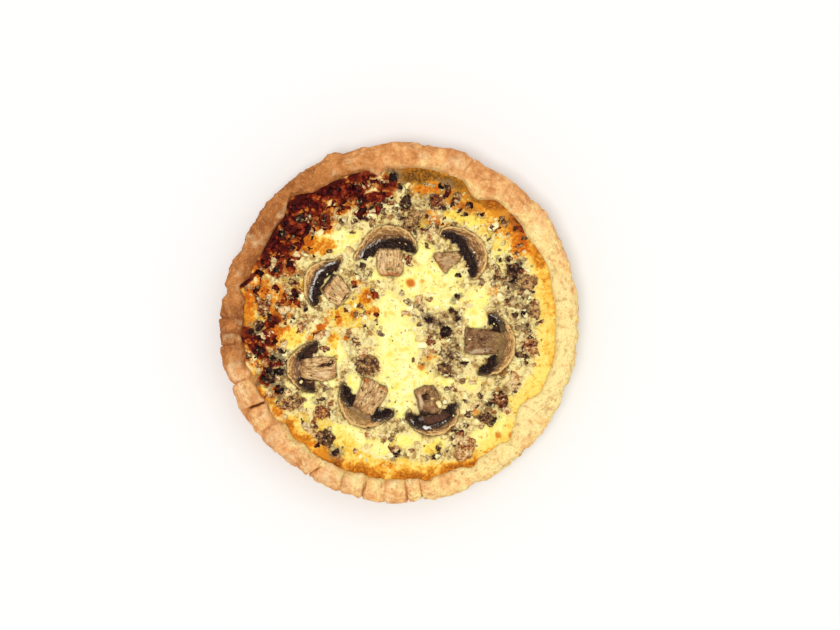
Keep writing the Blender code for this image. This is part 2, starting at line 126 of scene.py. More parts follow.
def smoothCurve(points, step):
    # a curve through the points, with one about every step mm
    points = [np.array(point, dtype=float) for point in points]
    ends = [2 * points[0] - points[1]] + points + [2 * points[-1] - points[-2]]
    result = []
    for before, start, end, after in zip(ends, ends[1:], ends[2:], ends[3:]):
        count = max(1, round(np.linalg.norm(end - start) / step))
        for t in np.arange(count) / count:
            bend = (2 * before - 5 * start + 4 * end - after) * t * t
            result.append(0.5 * (2 * start + (end - before) * t + bend
                                 + (3 * start - before - 3 * end + after) * t ** 3))
    return np.array(result + [points[-1]])


def runAlong(line):
    # the distance along a line of points, from 0
    return np.concatenate([[0.0], np.cumsum(np.hypot(*np.diff(line, axis=0).T))])


def evenCurve(points, count):
    # count places at even distances along the smooth curve through the points, and those distances
    fine = smoothCurve(points, 0.25)
    run = runAlong(fine)
    spread = np.linspace(0.0, run[-1], count)
    return np.stack([np.interp(spread, run, fine[:, axis]) for axis in (0, 1)], axis=-1), spread


# meshes and materials

def linearColour(hexCode):
    channels = [int(hexCode[i:i + 2], 16) / 255.0 for i in (1, 3, 5)]
    return [c / 12.92 if c <= 0.04045 else ((c + 0.055) / 1.055) ** 2.4 for c in channels] + [1.0]


def addNode(tree, kind, settings=None, links=None):
    # one node: settings go to its properties or sockets, links feed its sockets; gives its outputs
    node = tree.nodes.new(kind)
    for name, value in (settings or {}).items():
        if isinstance(name, str) and hasattr(node, name):
            setattr(node, name, value)
        else:
            node.inputs[name].default_value = value
    for name, source in (links or {}).items():
        tree.links.new(source, node.inputs[name])
    return node.outputs


def newMaterial(name, finish):
    material = bpy.data.materials.new(name)
    material.use_nodes = True
    tree = material.node_tree
    shader = tree.nodes["Principled BSDF"]
    for socket, value in finish.items():
        shader.inputs[socket].default_value = value
    return material, tree, shader


def readMasks(tree, names):
    return [addNode(tree, "ShaderNodeAttribute", {"attribute_name": name})["Fac"] for name in names]


def grain(tree, size, detail=3.0, rough=0.6, stretch=(1.0, 1.0, 1.0), source=None):
    # noise whose grains are size mm, in Object coordinates or in the given ones
    place = source or addNode(tree, "ShaderNodeTexCoord")["Object"]
    scale = [share / (size * mm) for share in stretch]
    scaled = addNode(tree, "ShaderNodeMapping", {"Scale": scale}, {"Vector": place})[0]
    settings = {"Scale": 1.0, "Detail": detail, "Roughness": rough}
    return addNode(tree, "ShaderNodeTexNoise", settings, {"Vector": scaled})["Fac"]


def brokenUp(tree, mask, *patterns):
    # a mask whose border follows noises, each given with how far it moves the mask
    for pattern, spread in patterns:
        centred = addNode(tree, "ShaderNodeMath", {"operation": "SUBTRACT", 1: 0.5}, {0: pattern})[0]
        settings = {"operation": "MULTIPLY_ADD", 1: spread}
        mask = addNode(tree, "ShaderNodeMath", settings, {0: centred, 2: mask})[0]
    return mask


def paintLayers(tree, base, layers):
    # lays colours over the base: a mask, where it begins and is full, the most it covers, a colour
    colour = base
    for mask, low, high, most, hexCode in layers:
        links = {0: addNode(tree, "ShaderNodeMapRange", {1: low, 2: high, 4: most}, {0: mask})[0]}
        settings = {"data_type": "RGBA", 7: linearColour(hexCode)}
        if isinstance(colour, str):
            settings[6] = linearColour(colour)
        else:
            links[6] = colour
        colour = addNode(tree, "ShaderNodeMix", settings, links)[2]
    return colour


def finishSurface(tree, shader, colour, heights, depth, roughness, pattern):
    # the colour, bump from heights, depth in mm, and a roughness that wanders between two values
    height = heights[0]
    for other in heights[1:]:
        height = addNode(tree, "ShaderNodeMath", {"operation": "ADD"}, {0: height, 1: other})[0]
    bump = addNode(tree, "ShaderNodeBump", {"Strength": 0.8, "Distance": depth * mm}, {"Height": height})[0]
    settings = {1: 0.35, 2: 0.65, 3: roughness[0], 4: roughness[1]}
    wander = addNode(tree, "ShaderNodeMapRange", settings, {0: pattern})[0]
    for socket, source in (("Base Color", colour), ("Normal", bump), ("Roughness", wander)):
        tree.links.new(source, shader.inputs[socket])


def softInside(share, red, green, blue):
    # light that wanders inside moist food, in mm for each colour
    return {"Subsurface Weight": share, "Subsurface Radius": (red * mm, green * mm, blue * mm),
            "Subsurface Scale": 1.0}


def addObject(name, data):
    added = bpy.data.objects.new(name, data)
    bpy.context.scene.collection.objects.link(added)
    return added


def meshPiece(name, points, faces, materials, attributes=None, faceMaterial=None, flow=None):
    # an object from points in mm, with one value a point for each attribute and two for flow
    mesh = bpy.data.meshes.new(name)
    mesh.from_pydata((np.asarray(points) * mm).tolist(), [], faces)
    for key, values in (attributes or {}).items():
        layer = mesh.attributes.new(key, "FLOAT", "POINT")
        layer.data.foreach_set("value", np.asarray(values, dtype=np.float32))
    if flow is not None:
        layer = mesh.uv_layers.new(name="flow")
        corner = np.zeros(len(mesh.loops), dtype=np.int32)
        mesh.loops.foreach_get("vertex_index", corner)
        layer.data.foreach_set("uv", np.asarray(flow, dtype=np.float32)[corner].ravel())
    for material in materials:
        mesh.materials.append(material)
    if faceMaterial is not None:
        mesh.polygons.foreach_set("material_index", np.asarray(faceMaterial, dtype=np.int32))
    mesh.shade_smooth()
    return addObject(name, mesh)


def faceOutwards(piece, merge=0.0):
    # joins points closer than merge mm, drops faces without area and turns the others outwards
    work = bmesh.new()
    work.from_mesh(piece.data)
    if merge:
        bmesh.ops.remove_doubles(work, verts=work.verts, dist=merge * mm)
    bmesh.ops.dissolve_degenerate(work, edges=work.edges, dist=1e-7)
    bmesh.ops.recalc_face_normals(work, faces=work.faces)
    work.to_mesh(piece.data)
    work.free()


def gridFaces(rows, columns, start=0, closed=False):
    # quads of a grid whose points run column by column within each row
    faces = []
    for row in range(rows if closed else rows - 1):
        here, there = start + row * columns, start + (row + 1) % rows * columns
        faces += [(here + c, here + c + 1, there + c + 1, there + c) for c in range(columns - 1)]
    return faces


def gridRim(rows, columns):
    # a grid's border, once round
    number = np.arange(rows * columns).reshape(rows, columns)
    return np.concatenate([number[0], number[1:, -1], number[-1, -2::-1], number[-2:0:-1, 0]]).tolist()


def ringWall(upper, lower):
    # quads between two closed loops of points
    count = len(upper)
    return [(upper[i], upper[(i + 1) % count], lower[(i + 1) % count], lower[i]) for i in range(count)]


def showPiece(piece, slot, *nodes):
    if nodes:
        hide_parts(*nodes)
    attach(piece, body)
    print(piece.name, len(piece.data.polygons), "faces")


# the case of shortcrust pastry

caseSizes = {
    "centre": (-0.1, -0.56),
    "floorTop": 5.5, "rimFoot": 18, "wallTop": 26, "topFrom": (27, 32),
    "rimInner": 100, "rimMiddle": 108, "rimOuter": 114.7,
    # the section, radius and height, once round from the floor's edge
    "innerWall": ((0, 5.5), (85, 5.5), (89, 6.6), (95, 15), (100, 26), (100.6, 31.6)),
    "rimTop": ((103, 34), (107.5, 35), (112.3, 33.9), (114.7, 31), (112.5, 27.8)),
    "side": ((108, 26), (101.5, 16), (93.4, 1.5), (91, 0)), "baseRings": (80, 55, 30),
    "rimStep": 0.62, "sideStep": 1.6, "step": 0.5, "fineStep": 0.2, "fineReach": 1.6,
    # angle, half width in degrees, reach in mm over the filling, bays negative
    "innerLobes": (
        (34, 5, 1.6), (59, 8.5, 6.7), (90, 8, 1.2), (98, 4.5, 4.2), (151, 9, 1.4),
        (211, 4, 1.8), (222, 6, 2.8), (232, 5, 1.8), (256, 3, 1.2), (325, 10.5, 6.6),
        (20, 9, -1.3), (130.5, 8.5, -5.8), (167, 4.5, -5.2), (185, 4, -1.8), (195, 3.5, -1.6),
        (280, 3.5, -2.2), (297, 4, -3.0), (313, 3.5, -2.4), (347, 9, -1.2)),
    "outerSwells": (
        (37, 20, 2.2), (72, 8, 2.6), (90, 12, 1.0), (112.5, 5, 2.2), (152, 14, -2.4), (155, 4.5, -1.8),
        (170, 3.5, -2.4), (191, 8, 0.9), (200, 3.5, -1.2), (235, 26, -1.5), (253.5, 3.5, -1.4),
        (277.5, 3.5, -1.2), (295, 5, -1.6), (337.5, 4, -1.0)),
    # angle, depth in mm, half width in mm, from and to across the rim (0 inner, 1 outer), slant
    "creases": (
        (42.5, 0.8, 0.4, 0.55, 1.1, 1.0), (58, 0.8, 0.4, 0.1, 0.55, -2.0), (66.5, 1.1, 0.6, 0.1, 1.1, -1.5),
        (74, 0.7, 0.8, 0.6, 0.9, 0.0), (178, 1.0, 0.6, 0.0, 1.1, 0.5), (183, 0.6, 0.8, 0.0, 0.8, -0.5),
        (187, 1.0, 0.6, 0.0, 1.1, 0.6), (200, 0.9, 0.6, 0.2, 1.1, 0.8), (209.7, 3.0, 0.8, -0.15, 0.7, -1.9),
        (218.5, 0.9, 0.8, 0.0, 0.9, -1.5), (226, 0.5, 0.6, 0.4, 1.1, 1.5), (234, 0.8, 0.9, 0.0, 1.1, 1.0),
        (240.5, 1.7, 0.6, 0.25, 1.1, -3.4), (250, 1.0, 1.0, 0.0, 1.1, 0.8), (258, 1.4, 0.8, 0.1, 1.1, -0.6),
        (265, 0.5, 0.8, 0.5, 1.1, 0.8), (272.5, 1.5, 0.6, 0.0, 1.1, 0.6), (277.5, 1.4, 0.5, 0.1, 1.1, 0.4),
        (282, 0.7, 0.5, 0.3, 1.1, 0.4), (306, 0.9, 0.4, 0.4, 1.1, 0.6), (313, 0.9, 0.5, 0.0, 0.6, 0.5)),
    "pillowHeight": 2.6, "leastPuff": 0.15, "puffs": ((252, 40, 1.0), (205, 30, 0.8)),
    "waveHeight": 0.7, "waveLength": 28,
    # size of a grain in mm, its height, seed
    "lumps": ((18, 0.9, 3), (7.5, 0.9, 4), (3.8, 0.6, 5)), "sideGrain": ((6, 0.16, 10), (2.2, 0.12, 11)),
    "brown": 0.38,
    # angle, half width, how much browner, and across the rim from where it is nothing to where full
    "browning": (
        (142, 68, 0.64, -1, 0), (80, 60, 0.20, -1, 0), (200, 50, 0.14, -1, 0), (185, 18, 0.34, -1, 0),
        (338, 95, -0.34, -1, 0), (82, 36, -0.12, 0.6, 0.1), (126, 22, 0.25, 0.5, 0),
        (187, 12, 0.50, 0.6, 0.1), (165, 16, 0.18, 1, 0), (10, 115, -0.22, 0.5, 0),
        (236, 44, -0.21, 0.5, 0), (0, 150, 0.12, 0.55, 1), (222, 34, 0.08, 0.2, 0.5)),
}
wholeArc = 2.0 * math.pi * caseSizes["rimMiddle"]


def featureSum(features, angle):
    return sum(reach * hump(angle, centre, half) for centre, half, reach in features)


def rimWave(angle):
    # the slow rise and fall of the rim, as the solid has it
    values = []
    for turn in np.radians(angle):
        way = Vector((math.cos(turn), math.sin(turn), 0.0)) * caseSizes["rimOuter"]
        values.append(caseSizes["waveHeight"] * noise.noise(way / caseSizes["waveLength"]))
    return np.array(values)


def caseAngles():
    # closer together at the creases, which are narrow
    sizes = caseSizes
    coarse = np.arange(0.0, 360.0, sizes["step"])
    fine = [centre + off for centre, *_ in sizes["creases"]
            for off in np.arange(-sizes["fineReach"], sizes["fineReach"] + 0.01, sizes["fineStep"])]
    return np.unique(np.round(np.concatenate([coarse, fine]) % 360.0, 2))


def caseSection():
    # radius and height once round the section, from the floor's edge to the middle of the base
    sizes = caseSizes
    inside = np.array(sizes["innerWall"][1:4], dtype=float)
    rim = smoothCurve(sizes["innerWall"][4:] + sizes["rimTop"] + sizes["side"][:1], sizes["rimStep"])
    side = smoothCurve(sizes["side"], sizes["sideStep"])[1:]
    base = np.array([(radius, 0.0) for radius in sizes["baseRings"]])
    return np.vstack([inside, rim, side, base])


def bakedShare(angle, across):
    # how brown the crust is: the rim's upper left is the darkest, its right side the palest
    share = caseSizes["brown"]
    for centre, half, more, none, full in caseSizes["browning"]:
        share = share + more * hump(angle, centre, half) * smoothStep(none, full, across)
    return np.clip(share, 0.0, 1.0)


def skinNoise(angles, run, cell, seed):
    # noise on the pastry's own surface, which closes round the ring
    around = round(wholeArc / cell)
    return gridNoise(angles / 360.0 * around, run / cell, seed, around)


def creaseDepth(angles, across):
    crease = np.zeros_like(angles)
    for centre, depth, half, low, high, slant in caseSizes["creases"]:
        wander = slant * (across - 0.5) + 0.3 * gridNoise(across * 4.0 + centre, centre + 0.0 * across, 91)
        off = ((angles - centre - wander + 180.0) % 360.0 - 180.0) / 360.0 * wholeArc / half
        window = smoothStep(low - 0.1, low + 0.12, across) * smoothStep(high + 0.15, high - 0.1, across)
        crease = np.maximum(crease, depth * np.exp(-off ** 2) * window)
    return crease


def pillowShape(angle, across):
    # the rim puffs up between its creases: how high it stands, and the valleys beside that, which are painted
    # darker as shade
    centres = sorted(centre for centre, *_ in caseSizes["creases"])
    pillow = np.zeros_like(angle)
    for low, high in zip(centres, centres[1:]):
        between = (angle > low) & (angle < high)
        pillow[between] = np.sin(np.pi * (angle[between] - low) / (high - low)) ** 0.5
    least = caseSizes["leastPuff"]
    puffed = [most * hump(angle, centre, half) for centre, half, most in caseSizes["puffs"]]
    puffy = (least + (1.0 - least) * np.maximum.reduce(puffed))[:, None]
    rounded = pillow[:, None] * np.sin(np.pi * np.clip(across, 0.0, 1.0)) ** 0.5
    return puffy * rounded, puffy * (1.0 - rounded)


def ringWrinkles(angles, run, across):
    # fine folds that follow the ring, more of them towards the outer edge
    around = round(wholeArc / 9.0)
    bend = 0.9 * skinNoise(angles, run, 12.0, 14)
    fold = np.abs(gridNoise(angles / 360.0 * around, run / 1.9 + bend, 15, around))
    here = np.clip(0.55 + skinNoise(angles, run, 15.0, 16), 0.0, 1.0) * smoothStep(0.05, 0.6, across)
    return np.clip(1.0 - fold / 0.25, 0.0, 1.0) * here


def makeCase(material):
    sizes = caseSizes
    section = caseSection()
    angle = caseAngles()
    angles, radius = np.meshgrid(angle, section[:, 0], indexing="ij")
    height = np.broadcast_to(section[:, 1], radius.shape).copy()
    across = np.clip((radius - sizes["rimInner"]) / (sizes["rimOuter"] - sizes["rimInner"]), 0.0, 1.0)
    nearRim = smoothStep(sizes["rimFoot"], sizes["wallTop"], height)
    onTop = smoothStep(*sizes["topFrom"], height) * (radius > sizes["rimInner"])
    lobes = featureSum(sizes["innerLobes"], angle)[:, None]
    swells = featureSum(sizes["outerSwells"], angle)[:, None]
    newRadius = radius + nearRim * (swells * across - lobes * (1.0 - across))
    newHeight = height + nearRim * rimWave(angle)[:, None]

    # the way that each point is pushed: straight out of the section
    alongR, alongZ = np.gradient(newRadius, axis=1), np.gradient(newHeight, axis=1)
    size = np.hypot(alongR, alongZ) + 1e-9
    outR, outZ = -alongZ / size, alongR / size
    run = runAlong(section)[None, :] + 0.0 * angles

    def skin(cell, seed):
        return skinNoise(angles, run, cell, seed)

    crease = creaseDepth(angles, across)
    pillow, valleyShade = pillowShape(angle, across)
    wrinkle = ringWrinkles(angles, run, across)
    lumps = sum(high * skin(cell, seed) for cell, high, seed in sizes["lumps"]) - 0.6 * wrinkle
    pits = np.clip(skin(1.7, 6) - 0.2, 0.0, 1.0) * 0.45 + np.clip(skin(3.4, 7) - 0.3, 0.0, 1.0) * 0.8
    flakes = np.clip(skin(5.0, 12) * 1.6 + 0.2, 0.0, 1.0) * np.abs(skin(1.4, 13)) * 0.6
    ragged = smoothStep(0.70, 0.98, across) * (0.70 * skin(4.6, 8) + 0.70 * np.abs(skin(2.0, 9)) - 0.2)
    rough = sum(high * skin(cell, seed) for cell, high, seed in sizes["sideGrain"])
    push = onTop * (lumps - pits + flakes + sizes["pillowHeight"] * pillow - crease) + nearRim * ragged
    push = push + (1.0 - nearRim) * rough * (height > 0.6)
    newRadius = newRadius + outR * push - 0.5 * crease * across * nearRim
    newHeight = np.where(height > 0.0, np.maximum(newHeight + outZ * push, 0.02), 0.0)

    turn = np.radians(angles)
    middleX, middleY = sizes["centre"]
    x, y = newRadius * np.cos(turn) + middleX, newRadius * np.sin(turn) + middleY
    points = np.stack([x, y, newHeight], axis=-1).reshape(-1, 3)
    rows, columns = angles.shape
    faces = gridFaces(rows, columns, closed=True)
    top, bottom = len(points), len(points) + 1
    points = np.vstack([points, [[middleX, middleY, sizes["floorTop"]], [middleX, middleY, 0.0]]])
    for row in range(rows):
        here, there = row * columns, (row + 1) % rows * columns
        faces.append((here, there, top))
        faces.append((here + columns - 1, there + columns - 1, bottom))

    masks = {
        "baked": bakedShare(angles, across), "crease": np.clip(crease / 2.0, 0.0, 1.0) * onTop,
        "pit": pits * onTop, "side": 1.0 - nearRim, "valleyShade": valleyShade * onTop, "wrinkle": wrinkle * onTop,
        "litTops": onTop * (lumps + pillow + flakes) + nearRim * ragged,
    }
    attributes = {name: np.append(np.ravel(values), [0.0, 0.0]) for name, values in masks.items()}
    piece = meshPiece("pastryCase", points, faces, [material], attributes)
    faceOutwards(piece)
    return piece


def bakedShortcrust():
    # shortcrust is flour and fat baked dry: matte, finely pitted and freckled, browner at edges
    material, tree, shader = newMaterial("bakedShortcrust", {
        "IOR": 1.45, "Specular IOR Level": 0.15, **softInside(0.06, 0.8, 0.45, 0.2)})
    baked, crease, pit, litTops, side, valleyShade, wrinkle = readMasks(
        tree, ("baked", "crease", "pit", "litTops", "side", "valleyShade", "wrinkle"))
    broad, patch, speck, fine = (grain(tree, size) for size in (18.0, 6.0, 2.4, 1.0))
    toast = brokenUp(tree, baked, (patch, 1.0), (broad, 0.8), (speck, 0.5))
    colour = paintLayers(tree, "#fde69c", (
        (toast, 0.02, 0.22, 1.0, "#f8d78c"), (toast, 0.18, 0.40, 1.0, "#f2b774"),
        (toast, 0.38, 0.62, 1.0, "#e0995a"), (toast, 0.60, 0.85, 1.0, "#c27c40"),
        # painted highlight: the raised lumps, pillows, flakes and ragged edges are painted paler
        (toast, 0.85, 1.15, 1.0, "#945325"), (litTops, 0.3, 1.6, 0.60, "#fcdda8"),
        # painted shade: the valleys beside the pillows are painted darker
        (brokenUp(tree, valleyShade, (patch, 1.0)), 0.45, 1.0, 0.55, "#c9824a"),
        # painted shade: the fine fold grooves are painted darker, and below them the pits
        (wrinkle, 0.2, 1.0, 0.55, "#b06c34"), (fine, 0.54, 0.67, 0.45, "#b06c34"),
        (fine, 0.45, 0.34, 0.28, "#f2cc94"), (pit, 0.04, 0.30, 0.50, "#b8743a"),
        # painted shade: the creases are painted darker, nearly black where deepest
        (side, 0.3, 1.0, 0.55, "#cf9a5c"), (crease, 0.25, 0.8, 0.75, "#94522a"),
        (crease, 0.7, 1.0, 0.8, "#4a200e")))
    finishSurface(tree, shader, colour, (fine, speck), 1.0, (0.74, 0.9), patch)
    return material


# mushroom slices, seen from above: u to the right of the crown and v towards it

slices = {
    "top": {
        "at": (-7.3, 48.7), "heading": 90, "tilt": (1.2, -0.8), "shadow": 4.6, "tone": 0.72, "stalk": 0.3,
        "wet": (0.02, 0.48, 0.68), "gills": ((0.02, 0.9, 4.7, 4.3),), "stemUnder": True,
        "outer": ((16, -5.6), (18.6, -2), (17.6, 4), (13.6, 9.4), (7, 13), (0, 14), (-7, 12.6), (-13, 8.4),
            (-17, 2.6), (-20, -3), (-22.6, -6.4), (-21.6, -8.6)),
        "inner": ((15.4, -5.4), (15.2, -2.2), (12.8, 1.6), (7.6, 3.2), (1, 2.6), (-5, 1.2), (-10, -0.8),
            (-14, -3.6), (-17, -7.6), (-20.6, -9)),
        "stem": ((1, -6.8, 7.8), (-5, -7.6, 8.8), (-11, -7.6, 9.6), (-16.5, -6.4, 9.2), (-18.8, -4.6, 7)),
        "marks": (("toast", 2, -18, 9, 1.6, 0.7, 6), ("olive", 2, -14.6, 4, 1.4, 0.8),
            ("pale", -3, -8, 2.4, 6, 0.5))},
    "upper_right": {
        "at": (40.4, 44.9), "heading": 35, "tilt": (-0.8, 1), "shadow": 3.4, "tone": 0.76, "stalk": 0.55,
        "wet": (0, 0.8, 0.25), "gills": ((0.03, 0.97, 4.4, 4),), "stemUnder": True,
        "outer": ((15.4, -6.2), (18.8, -3), (18.6, 2), (15, 8.4), (9, 13), (1, 14.6), (-7, 12.4),
            (-14, 8.2), (-18.6, 2.8), (-20, -2), (-18.6, -5.6)),
        "inner": ((14.6, -6.4), (15, -3.2), (11.8, 0.8), (6, 2.6), (-1, 3.2), (-7.4, 3.4), (-12, 1.8),
            (-15.2, -0.8), (-16.4, -4), (-16.4, -5.6)),
        "stem": ((0.4, -1.8, 1.8), (-4, -3.2, 2.8), (-8, -5.4, 4), (-11.5, -7.6, 3.2), (-15, -9.8, 4.6),
            (-17, -8.8, 4.8)),
        "marks": (("toast", 7, -8.4, 3, 2, 0.8), ("pale", -1, -11, 3, 4, 0.4),
            ("toast", -1, -16.6, 6, 1, 0.5))},
    "right": {
        "at": (60.2, -14.3), "heading": 0, "tilt": (0.6, -1.2), "tone": 0.66, "stalk": 0.82,
        "wet": (0, 0.3, 0.5), "gills": ((0.02, 0.37, 4.4, 4), (0.69, 0.98, 4, 4.2)), "stemUnder": False,
        "outer": ((16.4, -10.8), (19.6, -9.4), (20.2, -3), (17.6, 4.4), (12.6, 10), (6, 13.4), (-1, 14.2),
            (-8, 12.6), (-14, 8.6), (-18.4, 3.4), (-20.4, -1), (-19, -4.2)),
        "inner": ((16.2, -10.2), (16.4, -5), (12.6, -0.6), (7, 2.4), (0, 4.6), (-6, 4.6), (-11, 3.8),
            (-15, 1.4), (-17.4, -1.6), (-18.2, -4)),
        "stem": ((5, -7.6, 6), (0, -8.6, 6), (-6, -10, 6.8), (-12, -10.6, 6.2), (-17, -11, 5),
            (-18.6, -9.6, 4.4)),
        "marks": (("pale", 4, -9, 1.6, 8, 0.6, 8), ("dark", -3, -4, 3, 6, 0.35, 10),
            ("olive", 0, 4, 14, 4, 0.8), ("dark", 3, -15, 2, 2.4, 0.4))},
    "lower_right": {
        "at": (21.3, -54.5), "heading": -88, "tilt": (-1, -0.6), "tone": 0.7, "stalk": 0.75,
        "wet": (0, 1, 0.4), "gills": ((0.04, 0.97, 6, 4.6),), "stemUnder": True,
        "outer": ((15.4, 0.6), (17.6, 4), (16, 9.4), (12, 14), (6, 17.4), (-1, 18.4), (-8, 16.4),
            (-13.6, 11.4), (-17, 5), (-16.4, -1), (-13.4, -4.6)),
        "inner": ((14.2, 1.4), (14, 6.4), (10.6, 9.8), (5, 10.4), (0, 9.4), (-5, 8.4), (-9.6, 5.6),
            (-12.4, 1.4), (-13.4, -3.6)),
        "stem": ((5.4, -2.4, 8.4), (1, -4.6, 9.2), (-4, -4.8, 9.8), (-8, -3.6, 10.8), (-11.4, -2.2, 11),
            (-14, -0.8, 5)),
        "marks": (("hollow", 4.8, -6.4, 1.9, 2.6, 1, 35), ("hollow", 3.4, -9, 1.7, 2.3, 0.85, -35),
            ("glint", 4.4, 12.6, 3.4, 1, 1, -10), ("glint", 7.6, 6.6, 2.2, 2.2, 0.5),
            ("pale", 7.6, -4.6, 1.4, 5, 0.8, 12), ("glint", 13.6, 8, 0.9, 2.4, 0.6, 20),
            ("dark", -2, 12, 8, 3, 0.5), ("brown", -1, 7, 11, 5, 0.9))},
    "bottom": {
        "at": (-21.3, -49.4), "heading": -118, "tilt": (0.9, 0.9), "tone": 0.35, "stalk": 0.4,
        "wet": (0, 1, 0.42), "gills": ((0.02, 0.36, 4.6, 4.6), (0.65, 0.98, 4.8, 4.2)), "stemUnder": False,
        "outer": ((16.6, -3.4), (19, -1), (17.8, 5), (14, 11), (8, 16), (1, 18), (-6, 17.2), (-12.6, 13),
            (-17.4, 6.6), (-20.4, 0.6), (-18.4, -2.8)),
        "inner": ((16.2, -2.8), (15, 1.6), (11, 5), (6.6, 6.8), (1, 7.6), (-4, 7.8), (-9, 7), (-13.6, 5),
            (-16.8, 1.4), (-17.6, -2.6)),
        "stem": ((8, -8, 6), (3, -9, 6.8), (-3, -9.6, 7), (-8, -9.8, 7.8), (-11.6, -9.4, 8.4),
            (-12.8, -8, 7)),
        "marks": (("toast", 6, -11, 2.6, 1.8, 1, 20), ("olive", 0, 12, 9, 5, 0.7),
            ("toast", -7, -11.6, 4, 1, 0.6), ("dark", 0, -3, 1, 7, 0.35, 4),
            ("glint", -11.4, 2.2, 1.8, 1, 0.7, 20))},
    "lower_left": {
        "at": (-55.7, -29), "heading": 182, "tilt": (-0.7, 1.1), "tone": 0.68, "stalk": 0.32,
        "wet": (0, 1, 0.25), "gills": ((0.03, 0.41, 4.8, 4.6), (0.65, 0.97, 4.6, 4.2)), "stemUnder": False,
        "outer": ((14.4, -5.2), (17, -3.4), (15.6, 3), (12.4, 9.4), (7, 14.6), (1, 17), (-6, 15.6),
            (-11.4, 11.4), (-15.4, 5.4), (-16.2, 0), (-14.6, -2.8)),
        "inner": ((14.2, -4.6), (12.6, 0.4), (9.4, 4.4), (5.4, 7), (0, 7.6), (-5, 7.2), (-9.6, 5.6),
            (-12.8, 2.4), (-14, -2.2)),
        "stem": ((7.6, -6.4, 6), (2, -8, 6.4), (-4, -8.6, 6.8), (-9, -8.2, 6.6), (-13.4, -7.4, 6.2),
            (-15, -6.4, 5.4)),
        "marks": (("hollow", 1.6, -9, 1.5, 5.6, 1, 4), ("hollow", 0.2, -1, 0.7, 5.4, 0.8, 6),
            ("hollow", 4.4, -12, 0.8, 2.8, 0.7), ("pale", -4, -6, 2.4, 6, 0.5),
            ("toast", -6, -14, 3, 1, 0.6), ("brown", -10, 1, 5, 6, 0.6), ("brown", 11, 1, 5, 6, 0.6))},
    "upper_left": {
        "at": (-46.2, 24.5), "heading": 142, "tilt": (1, -1), "tone": 0.32, "stalk": 0.15,
        "wet": (0.1, 0.92, 0.8), "gills": ((0.04, 0.95, 4.4, 4),), "stemUnder": True,
        "outer": ((17.4, 1.6), (20.6, 4.2), (15.2, 6.6), (11, 11), (6, 14.2), (0, 16), (-6, 14.2),
            (-12, 10.2), (-16, 4.6), (-17.6, -1.4), (-14.6, -4.4)),
        "inner": ((16, 1), (13.4, 3), (9.4, 5.6), (4, 6.8), (-1, 6.6), (-6, 5.4), (-10.4, 3.2), (-13.6, 0),
            (-14.4, -4)),
        "stem": ((1.6, -4.4, 7.4), (-3, -6.8, 9), (-7, -7.8, 8.2), (-11, -7.2, 7), (-14, -6.2, 6.2),
            (-15.4, -5, 5.2)),
        "marks": (("hollow", 0.4, -14.2, 6, 0.5, 0.8), ("toast", -2, -1.6, 5, 1.6, 0.5),
            ("olive", 1, -6, 4, 3, 0.5))},
}
sliceSizes = {
    "sink": 1.8, "reach": 34, "gillHeight": 2.5, "gillSpacing": 0.85, "gillOverlap": 0.9, "gillEnd": 0.02,
    # in cap and stem: height, what tells slices apart, run and width of a fibre and of a fine one,
    # size of a dent, heights of fibre and dent, first seed
    "cap": {"height": 3.7, "shift": (40, 90), "fibre": (5.0, 0.6), "fine": (2.5, 0.35), "dent": 7.0,
            "relief": (0.16, 0.45), "seed": 51},
    "stem": {"height": 3.3, "shift": (60, 30), "fibre": (6.0, 0.7), "fine": (3.0, 0.4), "dent": 6.0,
             "relief": (0.22, 0.55), "seed": 55},
    "edgeRound": 1.6, "far": 9.0, "shadow": 6.4,  # how far the gills darken the flesh beside them
    "wallFoot": 0.05, "leastHeight": 0.3, "fray": (0.65, 1.2),  # of the flesh and of the gills
    "wobble": (0.5, 3.0, 2, (66, 67)),  # of the marks' borders: reach, cell, layers, seeds
    "capGrid": (120, 26), "gillGrid": (150, 9), "stemGrid": (46, 26),
    "masks": ("across", "nearGills", "wet", "skin", "edge", "stem", "tone"),
    "markKinds": ("toast", "olive", "pale", "dark", "hollow", "glint", "brown"),
}


def ruledGrid(first, second, along, across):
    # points between two curves, from the first to the second, with the run along them and inward
    start, runStart = evenCurve(first, along)
    end, runEnd = evenCurve(second, along)
    share = np.linspace(0.0, 1.0, across)[None, :, None]
    points = mixed(start[:, None, :], end[:, None, :], share)
    run = ((runStart + runEnd) / 2.0)[:, None] + 0.0 * points[:, :, 0]
    width = np.hypot(*(end - start).T)[:, None] + 0.0 * run
    return points[:, :, 0], points[:, :, 1], run, share[:, :, 0] * width, width


def roundEdge(distance, reach):
    t = np.clip(distance / reach, 0.0, 1.0)
    return np.sqrt(np.maximum(1.0 - (1.0 - t) ** 2, 0.0))


def gillShare(spec, share):
    # 1 where the cap ends in gills and 0 where it runs into the stem
    total, soft = np.zeros(np.shape(share)), sliceSizes["gillEnd"]
    for low, high, *_ in spec["gills"]:
        begun = smoothStep(low - soft, low + soft, share)
        total = np.maximum(total, begun * smoothStep(high + soft, high - soft, share))
    return total


def sliceMarks(spec, u, v):
    wobbleU, wobbleV = bent(u, v, *sliceSizes["wobble"])
    return {kind: patches(wobbleU, wobbleV, [mark[1:] for mark in spec["marks"] if mark[0] == kind])
            for kind in sliceSizes["markKinds"]}


def fleshHeight(part, number, u, v, run, aside, edge):
    # rounded at its edges, with fibres along the run and with dents
    fibreRun, fibreWidth = part["fibre"]
    fineRun, fineWidth = part["fine"]
    fibre = gridNoise(run / fibreRun + part["shift"][0] * number, aside / fibreWidth, part["seed"])
    fibre = fibre + 0.5 * gridNoise(run / fineRun, aside / fineWidth, part["seed"] + 1)
    dents = layeredNoise(u + part["shift"][1] * number, v, part["dent"], 3, part["seed"] + 2)
    rounded = roundEdge(edge + 0.1, sliceSizes["edgeRound"])
    relief = part["relief"][0] * fibre + part["relief"][1] * dents
    return part["height"] * (0.35 + 0.65 * rounded) + relief * rounded


